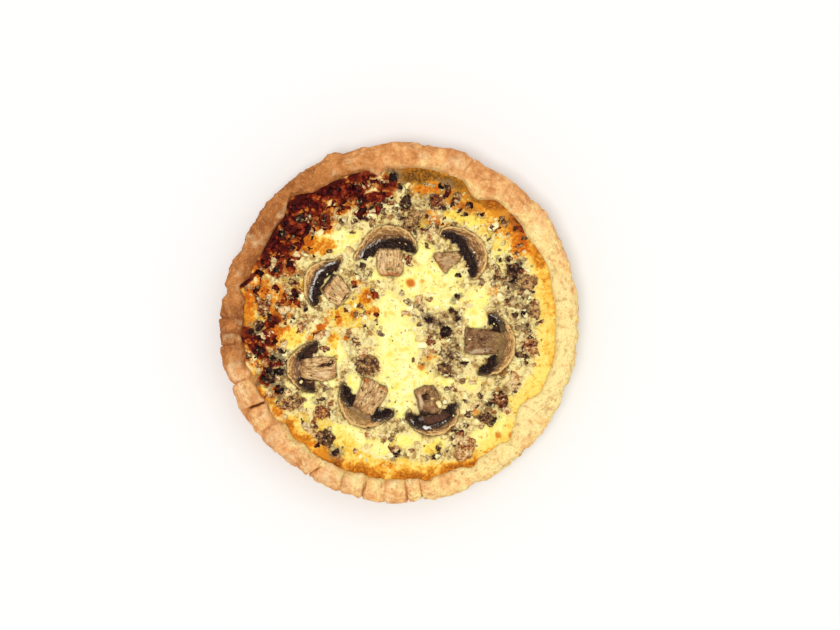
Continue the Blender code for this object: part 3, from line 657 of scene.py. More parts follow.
def capShell(spec, number):
    # the cap's flesh, from its skin to the gills, with its heights and masks
    sizes = sliceSizes
    u, v, run, inward, width = ruledGrid(spec["outer"], spec["inner"], *sizes["capGrid"])
    share, fromInner = run / run[-1:], width - inward
    overGills = gillShare(spec, share)
    inner = np.where(overGills > 0.5, fromInner, sizes["far"])
    edge = np.minimum(np.minimum(inward, inner), np.minimum(run, run[-1:] - run) + 0.1)
    height = fleshHeight(sizes["cap"], number, u, v, run, inward, edge)
    height = height - 0.35 * np.exp(-((inward - 1.7) / 0.5) ** 2)
    height = height - 0.5 * overGills * smoothStep(2.6, 0.4, fromInner)
    # a painted wet sheen: a pale highlight on the cap just outside the gills, over a share of the run from
    # the left
    sheenLow, sheenHigh, sheenMost = spec["wet"]
    fromLeft = 1.0 - share
    wet = sheenMost * smoothStep(3.8, 2.2, fromInner) * smoothStep(0.2, 1.2, fromInner)
    wet = wet * smoothStep(sheenLow, sheenLow + 0.07, fromLeft)
    wet = wet * smoothStep(sheenHigh + 0.1, sheenHigh - 0.1, fromLeft)
    masks = {
        "across": inward / (width + 1e-6) * (0.55 + 0.75 * spec["tone"]), "wet": wet,
        "nearGills": overGills * smoothStep(spec.get("shadow", sizes["shadow"]), 0.4, fromInner),
        "skin": smoothStep(2.0, 1.0, inward), "edge": smoothStep(0.7, 0.1, edge), "tone": spec["tone"],
    }
    return u, v, height, run, inward, masks, 0


def gillBands(spec, along, across):
    # grids of the gills, from a little under the cap inwards
    line, _ = evenCurve(spec["inner"], 240)
    middle = line.mean(axis=0) - [0.0, 9.0]
    places = np.linspace(0, 1, len(line))
    for low, high, startWidth, endWidth in spec["gills"]:
        share = np.linspace(low, high, along)
        base = np.stack([np.interp(share, places, line[:, axis]) for axis in (0, 1)], axis=-1)
        step = np.gradient(base, axis=0)
        side = np.stack([-step[:, 1], step[:, 0]], axis=-1) / (np.hypot(*step.T)[:, None] + 1e-9)
        side = side * np.sign(np.sum(side * (middle - base), axis=1))[:, None]
        t = (share - low) / (high - low)
        width = mixed(startWidth, endWidth, t) * np.minimum(1.0, 3.2 * np.sqrt(t * (1 - t) + 0.004))
        width = width * (1.0 + 0.45 * layeredNoise(share * 40.0, 0.0 * share + low, 4.0, 3, 59))
        reach = np.linspace(-1.0, 1.0, across)[None, :]
        reach = np.where(reach < 0.0, reach * sliceSizes["gillOverlap"], reach * width[:, None])
        u, v = (base[:, None, axis] + side[:, None, axis] * reach for axis in (0, 1))
        yield u, v, runAlong(base)[:, None] + 0.0 * u, reach, width[:, None] + 0.0 * u


def gillShells(spec):
    # the gills, folded across their band
    sizes = sliceSizes
    for u, v, run, reach, width in gillBands(spec, *sizes["gillGrid"]):
        bend = 0.4 * gridNoise(run / 3.0, reach / 2.0, 54)
        ridge = np.abs(np.sin(np.pi * (run + bend) / sizes["gillSpacing"]))
        edge = np.minimum(width - reach, np.minimum(run, run[-1:] - run) + 0.1)
        height = sizes["gillHeight"] * (0.45 + 0.55 * roundEdge(edge + 0.1, 1.1)) - 0.5 * ridge ** 3
        masks = {"across": ridge, "edge": smoothStep(1.2, 0.0, edge), "tone": spec["tone"]}
        yield u, v, height, run, reach, masks, 1


def stemSides(spec):
    return [[(row[side], row[0]) for row in spec["stem"]] for side in (1, 2)]


def stemShell(spec, number):
    # the stem, which runs up into the cap or lies under it
    sizes = sliceSizes
    along, across = sizes["stemGrid"]
    (left, run), (right, _) = (evenCurve(side, along) for side in stemSides(spec))
    share = np.linspace(0.0, 1.0, across)[None, :]
    u, v = (mixed(left[:, axis, None], right[:, axis, None], share) for axis in (0, 1))
    run = run[:, None] + 0.0 * u
    width = (right - left)[:, :1] + 0.0 * u
    fromSide = np.minimum(share, 1.0 - share) * width
    fromFoot = run[-1:] - run
    edge = np.minimum(np.minimum(fromSide, fromFoot), run + (0.0 if spec["stemUnder"] else sizes["far"]))
    aside = share * width
    height = fleshHeight(sizes["stem"], number, u, v, run, aside, edge)
    blend = smoothStep(0.0, 5.0, run)
    joined = -1.3 if spec["stemUnder"] else sizes["cap"]["height"] - sizes["stem"]["height"] - 0.2
    height = height + (1.0 - blend) * joined
    masks = {
        "across": share, "nearGills": (1.0 - blend) * spec["stemUnder"],
        "edge": smoothStep(0.8, 0.1, np.minimum(fromSide, fromFoot)),
        "stem": np.maximum(blend, spec["stemUnder"]), "tone": mixed(spec["tone"], spec["stalk"], blend),
    }
    return u, v, height, run, aside, masks, 0


def sliceLevel(spec):
    return surfaceHeight(*spec["at"]) - sliceSizes["sink"]


def makeSlice(name, spec, number, materials):
    sizes = sliceSizes
    shells = [capShell(spec, number), *gillShells(spec), stemShell(spec, number)]
    turn = Euler([math.radians(a) for a in (*spec["tilt"], spec["heading"] - 90)])
    place = np.array(Matrix.Translation((*spec["at"], sliceLevel(spec))) @ turn.to_matrix().to_4x4())
    points, faces, faceMaterial, flow = np.zeros((0, 3)), [], [], []
    attributes = {key: [] for key in sizes["masks"] + sizes["markKinds"]}
    for u, v, height, run, aside, masks, slot in shells:
        masks.update(sliceMarks(spec, u, v))
        fray = sizes["fray"][slot]
        frayU, frayV = (fray * layeredNoise(u + 50 * number, v, 4.0, 4, seed) for seed in (76, 86))
        u, v = u + frayU, v + frayV
        height = height - 1.6 * masks["hollow"] + 0.25 * masks["toast"] + 0.2 * masks["glint"]
        rim = gridRim(*u.shape)
        start, count = len(points), len(rim)
        upper = np.stack([u, v, np.maximum(height, sizes["leastHeight"])], axis=-1).reshape(-1, 3)
        lower = upper[rim].copy()
        lower[:, 2] = sizes["wallFoot"]
        points = np.vstack([points, np.vstack([upper, lower]) @ place[:3, :3].T + place[:3, 3]])
        foot = start + len(upper)
        underside = tuple(range(foot, foot + count))
        shellFaces = gridFaces(*u.shape, start) + ringWall([start + i for i in rim], underside) + [underside]
        faces += shellFaces
        faceMaterial += [slot] * len(shellFaces)
        pair = np.stack([np.ravel(run), np.ravel(aside)], axis=-1)
        flow += (np.vstack([pair, pair[rim]]) * mm).tolist()
        for key, values in attributes.items():
            flat = np.ravel(masks.get(key, 0.0) + 0.0 * u)
            values += np.concatenate([flat, flat[rim]]).tolist()
    title = "".join(word.title() for word in name.split("_"))
    piece = meshPiece("mushroomSlice" + title, points, faces, materials, attributes, faceMaterial, flow)
    faceOutwards(piece, merge=0.002)
    return piece


def mushroomFlesh():
    # closed-cup mushroom, sliced and roasted: moist satin flesh streaked along its fibres, with a painted wet
    # sheen beside the gills
    material, tree, shader = newMaterial("mushroomFlesh", {
        "IOR": 1.38, "Specular IOR Level": 0.2, **softInside(0.08, 1.0, 0.5, 0.3)})
    flow = addNode(tree, "ShaderNodeUVMap", {"uv_map": "flow"})[0]
    streak = grain(tree, 1.3, 4.0, 0.7, (0.22, 1.0, 1.0), flow)
    blotch, fine = grain(tree, 3.2, 4.0, 0.65), grain(tree, 1.1, 4.0, 0.7)
    across, nearGills, wet, skin, edge, stem, tone = readMasks(tree, sliceSizes["masks"])
    toast, olive, pale, dark, hollow, glint = readMasks(
        tree, ("toast", "olive", "pale", "dark", "hollow", "glint"))
    darker = brokenUp(tree, tone, (blotch, 1.4))
    inwards = brokenUp(tree, across, (blotch, 0.7), (streak, 0.5))
    cap = paintLayers(tree, "#e2b068", (
        (inwards, 0.10, 0.45, 0.85, "#aa743a"), (inwards, 0.42, 0.80, 0.85, "#6e4830"),
        (darker, 0.50, 1.20, 0.70, "#422616"), (streak, 0.48, 0.60, 0.65, "#744620"),
        (streak, 0.46, 0.34, 0.75, "#f4d096"),
        (brokenUp(tree, skin, (blotch, 1.6)), 0.35, 0.9, 0.85, "#f0c67e"),
        (fine, 0.56, 0.65, 0.65, "#4c2e18"), (fine, 0.42, 0.34, 0.50, "#f0d29c")))
    stalk = paintLayers(tree, "#e3b97c", (
        (streak, 0.47, 0.58, 0.90, "#a06c3c"), (streak, 0.46, 0.36, 0.85, "#f5dca8"),
        (darker, 0.30, 0.65, 0.80, "#94683c"), (darker, 0.60, 1.0, 0.85, "#5c3522"),
        (fine, 0.56, 0.66, 0.45, "#5e3a22"), (fine, 0.43, 0.34, 0.40, "#f4d8a6")))
    both = addNode(tree, "ShaderNodeMix", {"data_type": "RGBA"}, {0: stem, 6: cap, 7: stalk})[2]
    colour = paintLayers(tree, both, (
        (brokenUp(tree, nearGills, (fine, 1.0), (streak, 0.8)), 0.05, 0.66, 0.92, "#1e110d"),
        (brokenUp(tree, edge, (fine, 1.4), (blotch, 1.6)), 0.45, 1.1, 0.80, "#4a2a14"),
        # painted highlight: the wet sheen beside the gills
        (brokenUp(tree, wet, (streak, 2.4), (fine, 2.4)), 0.60, 1.0, 0.9, "#e4dcd2"),
        (olive, 0.1, 0.9, 0.7, "#84693a"), (pale, 0.1, 0.9, 0.8, "#e6c89c"), (dark, 0.1, 0.9, 0.8, "#46301f"),
        (brokenUp(tree, toast, (fine, 0.8)), 0.2, 0.8, 0.85, "#b8642a"),
        (brokenUp(tree, glint, (fine, 1.2)), 0.4, 0.7, 0.9, "#ece6e0"),
        # painted shade: the hollows are painted near black
        (brokenUp(tree, hollow, (fine, 1.8), (blotch, 1.6)), 0.3, 0.9, 0.95, "#32110c")))
    finishSurface(tree, shader, colour, (streak, fine), 0.8, (0.3, 0.55), blotch)
    return material


def mushroomGills():
    # ripe gills, nearly black, in places brown or faintly violet, and wet with juice
    material, tree, shader = newMaterial("mushroomGills", {"IOR": 1.38, "Specular IOR Level": 0.1})
    speck, fine = grain(tree, 2.0, 4.0, 0.7), grain(tree, 0.9, 4.0, 0.7)
    edge, glint, brown = readMasks(tree, ("edge", "glint", "brown"))
    colour = paintLayers(tree, "#140b0a", (
        (speck, 0.50, 0.62, 0.8, "#4a2c20"), (speck, 0.44, 0.34, 0.6, "#2b2230"),
        (brokenUp(tree, brown, (speck, 1.4)), 0.2, 0.9, 0.8, "#6a4430"),
        (brokenUp(tree, edge, (fine, 1.6)), 0.4, 1.0, 0.8, "#7a5438"),
        (fine, 0.56, 0.66, 0.6, "#947458"), (fine, 0.44, 0.36, 0.40, "#4a4456"),
        (brokenUp(tree, glint, (fine, 0.9)), 0.3, 0.8, 0.9, "#a9a596")))
    finishSurface(tree, shader, colour, (fine,), 0.6, (0.28, 0.5), speck)
    return material


def outlineDistance(u, v, outline):
    # distance to a closed outline, negative inside it
    nearest = np.full(u.shape, 1e9)
    inside = np.zeros(u.shape, dtype=bool)
    for (au, av), (bu, bv) in zip(outline, np.roll(outline, -1, axis=0)):
        du, dv = bu - au, bv - av
        t = np.clip(((u - au) * du + (v - av) * dv) / (du * du + dv * dv + 1e-9), 0.0, 1.0)
        nearest = np.minimum(nearest, np.hypot(u - au - t * du, v - av - t * dv))
        inside ^= ((av > v) != (bv > v)) & (u < (bu - au) * (v - av) / (bv - av + 1e-12) + au)
    return np.where(inside, -nearest, nearest)


def sliceOutlines(spec):
    # the borders of the cap, of the gills and of the stem
    grids = [ruledGrid(spec["outer"], spec["inner"], 30, 2)[:2], ruledGrid(*stemSides(spec), 12, 2)[:2]]
    grids += [band[:2] for band in gillBands(spec, 24, 3)]
    return [np.stack([u.ravel(), v.ravel()], axis=-1)[gridRim(*u.shape)] for u, v in grids]


def sliceDistance(x, y):
    # distance to the nearest slice and the level of that slice's top, at places in mm
    distance, level = np.full(x.shape, 50.0), np.zeros(x.shape)
    for spec in slices.values():
        turn = math.radians(spec["heading"] - 90)
        awayX, awayY = x - spec["at"][0], y - spec["at"][1]
        near = np.hypot(awayX, awayY) < sliceSizes["reach"]
        u = (awayX * math.cos(turn) + awayY * math.sin(turn))[near]
        v = (awayY * math.cos(turn) - awayX * math.sin(turn))[near]
        away = np.minimum.reduce([outlineDistance(u, v, outline) for outline in sliceOutlines(spec)])
        closer = np.zeros(x.shape, dtype=bool)
        closer[near] = away < distance[near]
        distance[near] = np.minimum(distance[near], away)
        level[closer] = sliceLevel(spec) + sliceSizes["cap"]["height"]
    return distance, level


# the filling: set custard and melted cheese

fillSizes = {
    "level": 26.6, "edgeRadius": 100.2, "cells": 296, "overlap": 0.25, "underGap": 0.3, "wallGap": 0.5,
    "swell": (1.0, 34), "ripple": (0.9, 11), "edgeRise": 1.3, "edgeBand": 10,
    "lump": 4.6, "knob": 2.3, "lipDepth": 2.0, "bedDepth": 4.5,
    # noises that bend places: reach, cell, layers, seeds; and others: cell, layers, seed
    "warp": (2.4, 9.0, 3, (21, 31)), "bend": (1.8, 4.5, 3, (62, 72)),
    "edgeNoise": (7.0, 2, 41), "curl": (6.0, 3, 88), "melt": (14.0, 3, 81), "blister": (5.0, 2, 85),
    # masks that colour it
    "masks": ("cheese", "gold", "toast", "spot", "scorch", "grey", "olive", "band", "brown", "murk", "tint",
              "pit", "flake", "sliceShade"),
}
# Tones of the top: x, y, half length, half width, strength and, where it isn't 0, turn in degrees.
tones = {
    "cheese": (
        (18, 27, 22, 12, 1, 5), (-6, 8, 10, 12, 1), (-2, -14, 14, 24, 1), (4, -38, 20, 11, 1),
        (0, -54, 9, 8, 1), (30, 16, 14, 8, 1), (-40, 52, 17, 7, 1, 14), (16, 44, 6, 8, 0.9),
        (48, 3, 8, 8, 1), (64, 44, 5, 12, 0.6), (-33, -73, 17, 6, 1, -16), (56, -72, 17, 8, 1, 40),
        (-57, -50, 8, 5, 0.9), (-41, -19, 6, 10, 0.9), (-30, -40, 4, 8, 0.9, -20), (4, -75, 8, 5, 0.8),
        (22, -79, 9, 6, 0.8), (-70, -10, 11, 8, 0.9, 5), (50, 16, 8, 9, 0.8), (-44, -37, 4, 3, 0.8),
        (88, -44, 5, 16, 0.9, -25), (46, -40, 7, 5, 0.6), (40, 67, 14, 5, 0.8, -20), (29, -38, 8, 4, 0.8),
        (-15, 30, 6, 4, 0.8), (-12, -80, 8, 5, 0.7), (70, 70, 8, 4, 0.6, -40), (-27, -52, 2, 4, 0.9, -30)),
    "gold": (
        (-70, -9, 12, 7, 0.85, 5), (-81, -4, 6, 5, 0.8), (-43, -12, 5, 6, 0.9), (-42, -22, 3, 5, 0.7),
        (-57, 50, 9, 8, 1, 40), (-40, 46, 5, 3, 0.5, 20), (52, 63, 15, 6, 0.8, -38),
        (36, 68, 12, 4, 0.9, -20), (24, 22, 14, 8, 0.45), (-2, -18, 4, 8, 0.45), (-8, 6, 3, 8, 0.55),
        (29, 20, 4, 3, 0.5), (-35, -76, 12, 7, 0.75, -16), (50, 72, 16, 9, 0.85, -38), (63, 50, 6, 9, 0.6),
        (-49, 49, 9, 6, 0.9, 20), (16, 64, 8, 6, 0.6), (-77, 6, 8, 8, 0.6), (-66, 24, 8, 8, 0.7),
        (84, -52, 5, 12, 0.5, -25), (-24, -86, 20, 4, 0.9, -12), (2, -91, 20, 4, 0.8),
        (22, -80, 8, 6, 0.8), (-2, -79, 4, 6, 0.6), (56, -73, 13, 6, 0.5, 40), (-49, -71, 6, 4, 0.8, -30),
        (-62, -64, 7, 5, 0.7, -40), (-80, -52, 6, 6, 0.9), (-50, -65, 7, 6, 0.8), (21, -22, 6, 5, 0.5),
        (34, 8, 5, 5, 0.4), (-30, 6, 19, 11, 0.85, 10), (-22, 16, 8, 9, 0.9), (-88, 6, 9, 12, 0.7),
        (-72, 22, 8, 10, 0.5), (-84, -30, 12, 6, 0.9, -50), (-72, -47, 8, 5, 0.6, -40),
        (78, -52, 3, 10, 0.5, -30), (38, 12, 5, 5, 0.4), (20, -22, 6, 8, 0.4)),
    "toast": (
        (-50, -3, 7, 3.4, 0.95, 40), (-57, -9, 3, 2.4, 0.6), (-20.5, 17, 5, 6, 0.9), (-16, 8, 3, 4, 0.7),
        (-45, 6, 3, 3, 0.6), (-30, 5, 3.4, 4.6, 0.8, 20), (-38, 3, 2.6, 5, 0.8), (-25, 11, 3, 3, 0.7),
        (-20, 6, 2.4, 2.4, 0.6), (-9, 5, 1.6, 3, 0.5), (20, -21, 4, 3, 0.6), (-33, -8, 5, 3.4, 0.7),
        (-44, -10, 2.4, 2.4, 0.7), (23, 64, 4.6, 4, 0.9), (29, 62, 2, 2, 0.6), (35, 79, 13, 9, 0.42, -20),
        (62, 66, 11, 8, 0.5, -45), (77, 50, 8, 9, 0.9), (-62, 50, 11, 9, 1, 40), (-81, -6, 8, 6, 1),
        (-80, -13, 8, 5, 0.7), (-77, 7, 7, 6, 1), (-49, 49, 7, 5, 0.8, 20), (-7, -91, 8, 3, 0.6),
        (-49, 61, 9, 7, 0.9, 20), (-88, 16, 8, 12, 0.8), (-91, 34, 5, 9, 1, 25), (80, 50, 8, 6, 1, -60),
        (-76, 18, 6, 10, 0.6), (18, 86, 12, 5, 0.8), (20, 68, 6, 4, 0.5), (55, 4, 4, 3, 0.3),
        (-54, -82, 15, 3.6, 0.6, -32), (-79, -57, 5, 6, 0.8, -30), (-92, -28, 5, 4, 0.8, -50),
        (-75, -4, 5, 3, 0.8), (-96, 14, 5, 13, 1), (-87, 22, 6, 7, 1), (-82, 10, 5, 6, 0.6),
        (-57, 48, 8, 6, 0.8, 40), (-50, 60, 4, 5, 0.9), (-28, 27, 3, 2.4, 0.7), (46, 75, 10, 3, 0.7, -25),
        (60, 20, 5, 4, 0.4), (-70, 15, 6, 8, 0.5), (-40, 72, 12, 5, 0.7, 20), (70, 58, 7, 5, 0.7, -50),
        (84, -16, 3, 3, 0.8), (19, -13, 4, 4, 0.5), (-80, -46, 3, 5, 0.5), (-48, -60, 3, 3, 0.6),
        (-65, 19, 6, 6, 0.6), (-76, 4, 8, 5, 0.8)),
    "spot": (
        (6.9, 25.3, 3.5, 3.2, 1), (14.5, 26.5, 2.2, 2, 0.6), (14, -28.5, 3.2, 2.8, 0.9, 20),
        (63, -72, 2.2, 2.2, 0.9), (71, -72, 2.2, 2.2, 0.9), (49, -57, 2.8, 2.6, 0.8)),
    "scorch": (
        (-60, 77, 15, 10, 1, 40), (-65, 63, 11, 10, 1, 50), (-77, 63, 10, 5, 1.15, 48),
        (-82, 48, 13, 7, 1, 62), (-80, 37, 7, 8, 0.6), (-89, 38, 5, 6, 0.5, 20), (-75, 50, 8, 8, 0.9, 60),
        (-50, 66, 9, 6, 0.6, 30), (-8, 90, 8, 5, 0.6), (-43, 86, 15, 6, 1.1, 20),
        (-25, 93, 12, 4, 0.7, 10), (-17, 80, 13, 4.5, 0.9, 20), (-55, 74, 12, 6, 0.9, 30),
        (-30, 82, 12, 5, 0.8, 20), (-97, 28, 8, 2.5, 0.9, 40), (-98, -8, 5, 6, 0.8),
        (-91, -17, 8, 5, 0.9, -50), (-84, -12, 7, 4, 0.75, -20), (-82, -27, 6, 5, 0.85, -60),
        (-98, -22, 4, 4, 0.6), (-86, -37, 5, 4, 0.8, -30), (-78, -43, 3, 4, 0.7, -30),
        (-36, 75, 9, 5, 0.42, 20), (-46, 63, 5, 4, 0.5, 20), (40, 76, 6, 3, 0.3, -30),
        (-82, 1, 6, 5, 0.8, 20), (-70, 38, 6, 9, 0.5), (-20, 72, 8, 3, 0.5, 10), (-74, 14, 5, 5, 0.4),
        (76, 60, 7, 4, 0.6, -45), (-93, -50, 4, 2, 0.5)),
    "grey": (
        (-14, 67, 16, 4, 0.5, 5), (12, 61, 13, 6, 1), (-36, 62, 9, 6, 0.8), (64, 8, 6, 6, 0.6),
        (62, 52, 5, 8, 0.6), (24, 38, 6, 5, 0.3), (21, 49, 5, 6, 1), (63, 49, 6, 6, 0.4),
        (-21, -13, 4, 4, 0.3), (62, -35, 7, 5, 0.7), (62, -50, 7, 6, 0.8), (-7, -77, 6, 5, 0.6),
        (-33, -35, 6, 5, 0.5), (20, -6, 7, 6, 0.95), (36, -19, 9, 13, 1), (76, 26, 9, 8, 1),
        (30, -32, 10, 7, 0.9), (75, 24, 11, 11, 1), (78, 2, 7, 16, 1), (56, 30, 8, 6, 0.4),
        (72, -46, 10, 8, 0.7), (55, -59, 12, 8, 0.65), (38, -66, 8, 5, 0.7, -20), (46, -43, 8, 5, 0.1),
        (24, -84, 8, 6, 0.7), (-2, -66, 8, 5, 0.6), (-50, -52, 5, 6, 0.6), (48, 50, 4, 6, 0.8),
        (-48, -38, 5, 6, 0.9), (-21, -50, 4, 6, 0.7), (-22, -26, 8, 6, 0.8), (30, 2, 14, 8, 0.8),
        (10, 11, 7, 4, 0.6), (-30, -12, 8, 6, 0.5), (-62, 8, 5, 14, 0.2), (-60, -68, 9, 4, 0.6, -20),
        (-80, 28, 9, 8, 0.2), (-50, 8, 9, 7, 0.5), (31, 75, 9, 6, 0.7), (36, 84, 8, 6, 0.8),
        (14, 76, 14, 8, 0.7), (-26, 32, 7, 5, 0.4), (44, 80, 7, 5, 0.6), (-72, 30, 9, 14, 0.6, 20),
        (58, 12, 8, 10, 0.5), (42, 20, 5, 5, 0.4), (-46, -78, 7, 8, 0.7, -40), (-40, 30, 3, 6, 0.3)),
    "olive": (
        (12, 93, 17, 7, 1), (30, 87, 15, 9, 1, -25), (46, 78, 10, 8, 0.8, -40), (8, 84, 8, 5, 0.7),
        (58, 68, 8, 5, 0.3, -45), (-78, -52, 6, 8, 0.5, -40)),
}
# The band along the rim: angle, half width in degrees, its depth in mm, how brown it is.
rimBand = (
    (84, 15, 14, 1.05), (69, 12, 17, 1.0), (38, 12, 15, 1.25), (26, 9, 12, 0.85), (53, 12, 16, 1.1),
    (12, 20, 15, 0.45), (352, 15, 14, 0.40), (335, 20, 13, 0.22), (310, 16, 9, 0.22), (292, 14, 9, 0.95),
    (275, 15, 13, 0.85), (257, 15, 13, 0.85), (243, 10, 12, 1.0), (228, 14, 10, 0.85), (205, 12, 6, 0.85),
    (178, 18, 11, 0.95), (135, 34, 8, 1.1),
)


def surfaceHeight(x, y):
    # the filling's plain top, as the solid has it
    sizes = fillSizes
    place = Vector((x, y, 0.0))
    swell = sizes["swell"][0] * noise.noise(place / sizes["swell"][1])
    ripple = sizes["ripple"][0] * noise.noise(place / sizes["ripple"][1] + Vector((0.0, 0.0, 5.0)))
    rim = caseSizes["rimInner"]
    rise = sizes["edgeRise"] * float(smoothStep(rim - sizes["edgeBand"], rim, math.hypot(x, y)))
    return sizes["level"] + swell + ripple + rise


def edgeRadius(angle):
    return fillSizes["edgeRadius"] - featureSum(caseSizes["innerLobes"], angle)


def toneMasks(x, y):
    # the share of each tone at places in mm, with uneven borders
    warpX, warpY = bent(x, y, *fillSizes["warp"])
    masks = {name: patches(warpX, warpY, places) for name, places in tones.items()}
    juice = [(px, py, 0.92 * wide, 0.92 * wide, 1.0 - shade) for px, py, wide, shade in bitSizes["darkBits"]]
    masks["murk"] = patches(warpX, warpY, juice)
    masks["spot"] = patches(mixed(x, warpX, 0.25), mixed(y, warpY, 0.25), tones["spot"])
    awayX, awayY = x - caseSizes["centre"][0], y - caseSizes["centre"][1]
    angle = np.degrees(np.arctan2(awayY, awayX)) % 360.0
    fromRim = edgeRadius(angle) - np.hypot(awayX, awayY)
    band, brown = np.zeros(x.shape), np.zeros(x.shape)
    edge = fromRim + 1.8 * layeredNoise(x, y, *fillSizes["edgeNoise"])
    for centre, half, depth, tone in rimBand:
        weight = np.minimum(1.0, 1.6 * hump(angle, centre, half))
        band = np.maximum(band, weight * smoothStep(depth, depth * 0.5, edge))
        brown = np.maximum(brown, weight * tone * smoothStep(depth, depth * 0.2, edge))
    masks.update(band=band, brown=brown, fromRim=fromRim)
    smooth = np.maximum(masks["cheese"], band)
    masks["lumpy"] = np.clip(1.0 - smooth, 0.0, 1.0) * smoothStep(-0.5, 3.0, fromRim)
    return masks


def fillingTop(x, y):
    # heights and colour masks of the top at places in mm
    sizes = fillSizes
    masks = toneMasks(x, y)
    plain = np.array([surfaceHeight(px, py) for px, py in zip(x.ravel(), y.ravel())]).reshape(x.shape)

    # lumps with knobs on them, and curls, where it is rough; low swells and blisters where it melted
    bentX, bentY = bent(x, y, *sizes["bend"])
    gap, number, level = lumpPattern(bentX, bentY, sizes["lump"], 61)
    knobGap, knobNumber, knobLevel = lumpPattern(bentX, bentY, sizes["knob"], 63)
    dome, knob = smoothStep(0.0, 0.5, gap), smoothStep(0.0, 0.55, knobGap)
    rough = np.maximum(masks["lumpy"], 0.8 * masks["scorch"])
    fold = 0.3 - np.abs(gridNoise(x / 2.2, y / 2.2, 89))
    curls = 0.9 * layeredNoise(x, y, *sizes["curl"]) + 0.5 * fold
    lumps = dome * (0.2 + 1.2 * level) - 0.5 + 0.5 * knob * (0.3 + knobLevel) - 0.25 + curls
    melt = layeredNoise(x, y, *sizes["melt"])
    blister = np.maximum(layeredNoise(x, y, *sizes["blister"]) - 0.25, 0.0)
    relief = rough * lumps + (1.0 - rough) * (0.30 * melt + 0.8 * blister) + 0.35 * masks["cheese"]
    height = plain + relief * smoothStep(-0.2, 2.5, masks["fromRim"])
    tint = 0.16 + 0.30 * masks["grey"] + 0.36 * (0.6 * number + 0.4 * knobNumber)
    masks["tint"] = tint * masks["lumpy"]
    # the gaps between the lumps, which are painted darker as shade
    masks["pit"] = rough * np.clip(0.9 - dome * 0.5 - knob * 0.35 - 0.5 * curls, 0.0, 1.0)
    masks["flake"] = mixed(number, knobNumber, 0.5)

    # it rises to a lip round each slice and dips under it
    distance, top = sliceDistance(x, y)
    under = top > 0.0
    lip = np.where(under, np.exp(-np.maximum(distance, 0.0) / 1.2), 0.0)
    height = mixed(height, top - sizes["lipDepth"] + 0.3 * melt, 0.8 * lip)
    bed = mixed(height, top - sizes["bedDepth"], smoothStep(0.0, -0.9, distance))
    height = np.where(under & (distance < 0.0), bed, height)
    # a painted shadow round each slice, strongest at its edge
    masks["sliceShade"] = np.where(under, np.exp(-np.maximum(distance - 0.3, 0.0) / 1.5), 0.0)
    return height, masks


def makeFilling(material):
    # a square grid bent round, so that its cells are even out to the rim, over a plain underside
    sizes = fillSizes
    cells = sizes["cells"] + 1
    a, b = np.meshgrid(np.linspace(-1.0, 1.0, cells), np.linspace(-1.0, 1.0, cells), indexing="ij")
    wide = np.abs(a) > np.abs(b)
    big, small = np.where(wide, a, b), np.where(wide, b, a)
    lean = np.pi / 4.0 * small / np.where(big == 0, 1, big)
    turn = np.where(wide, lean, np.pi / 2.0 - lean)
    diskX, diskY = big * np.cos(turn), big * np.sin(turn)
    angle = np.degrees(np.arctan2(diskY, diskX)) % 360.0
    middleX, middleY = caseSizes["centre"]
    x = diskX * (edgeRadius(angle) + sizes["overlap"]) + middleX
    y = diskY * (edgeRadius(angle) + sizes["overlap"]) + middleY
    height, masks = fillingTop(x, y)

    points = np.stack([x, y, height], axis=-1).reshape(-1, 3)
    faces = gridFaces(cells, cells)
    upper = gridRim(cells, cells)
    count = len(upper)
    rimTurn = np.radians(angle.ravel()[upper])
    for radius, z in caseSizes["innerWall"][3:0:-1]:
        radius, start = radius - sizes["wallGap"], len(points)
        loop = [radius * np.cos(rimTurn) + middleX, radius * np.sin(rimTurn) + middleY,
                np.full(count, z + sizes["underGap"])]
        points = np.vstack([points, np.stack(loop, axis=-1)])
        lower = list(range(start, start + count))
        faces += ringWall(upper, lower)
        upper = lower
    points = np.vstack([points, [[middleX, middleY, caseSizes["floorTop"] + sizes["underGap"]]]])
    faces += [(upper[i], upper[(i + 1) % count], len(points) - 1) for i in range(count)]
    extra = np.zeros(len(points) - x.size)
    attributes = {name: np.concatenate([np.ravel(masks[name]), extra]) for name in sizes["masks"]}
    piece = meshPiece("custardAndCheese", points, faces, [material], attributes)
    faceOutwards(piece)
    return piece


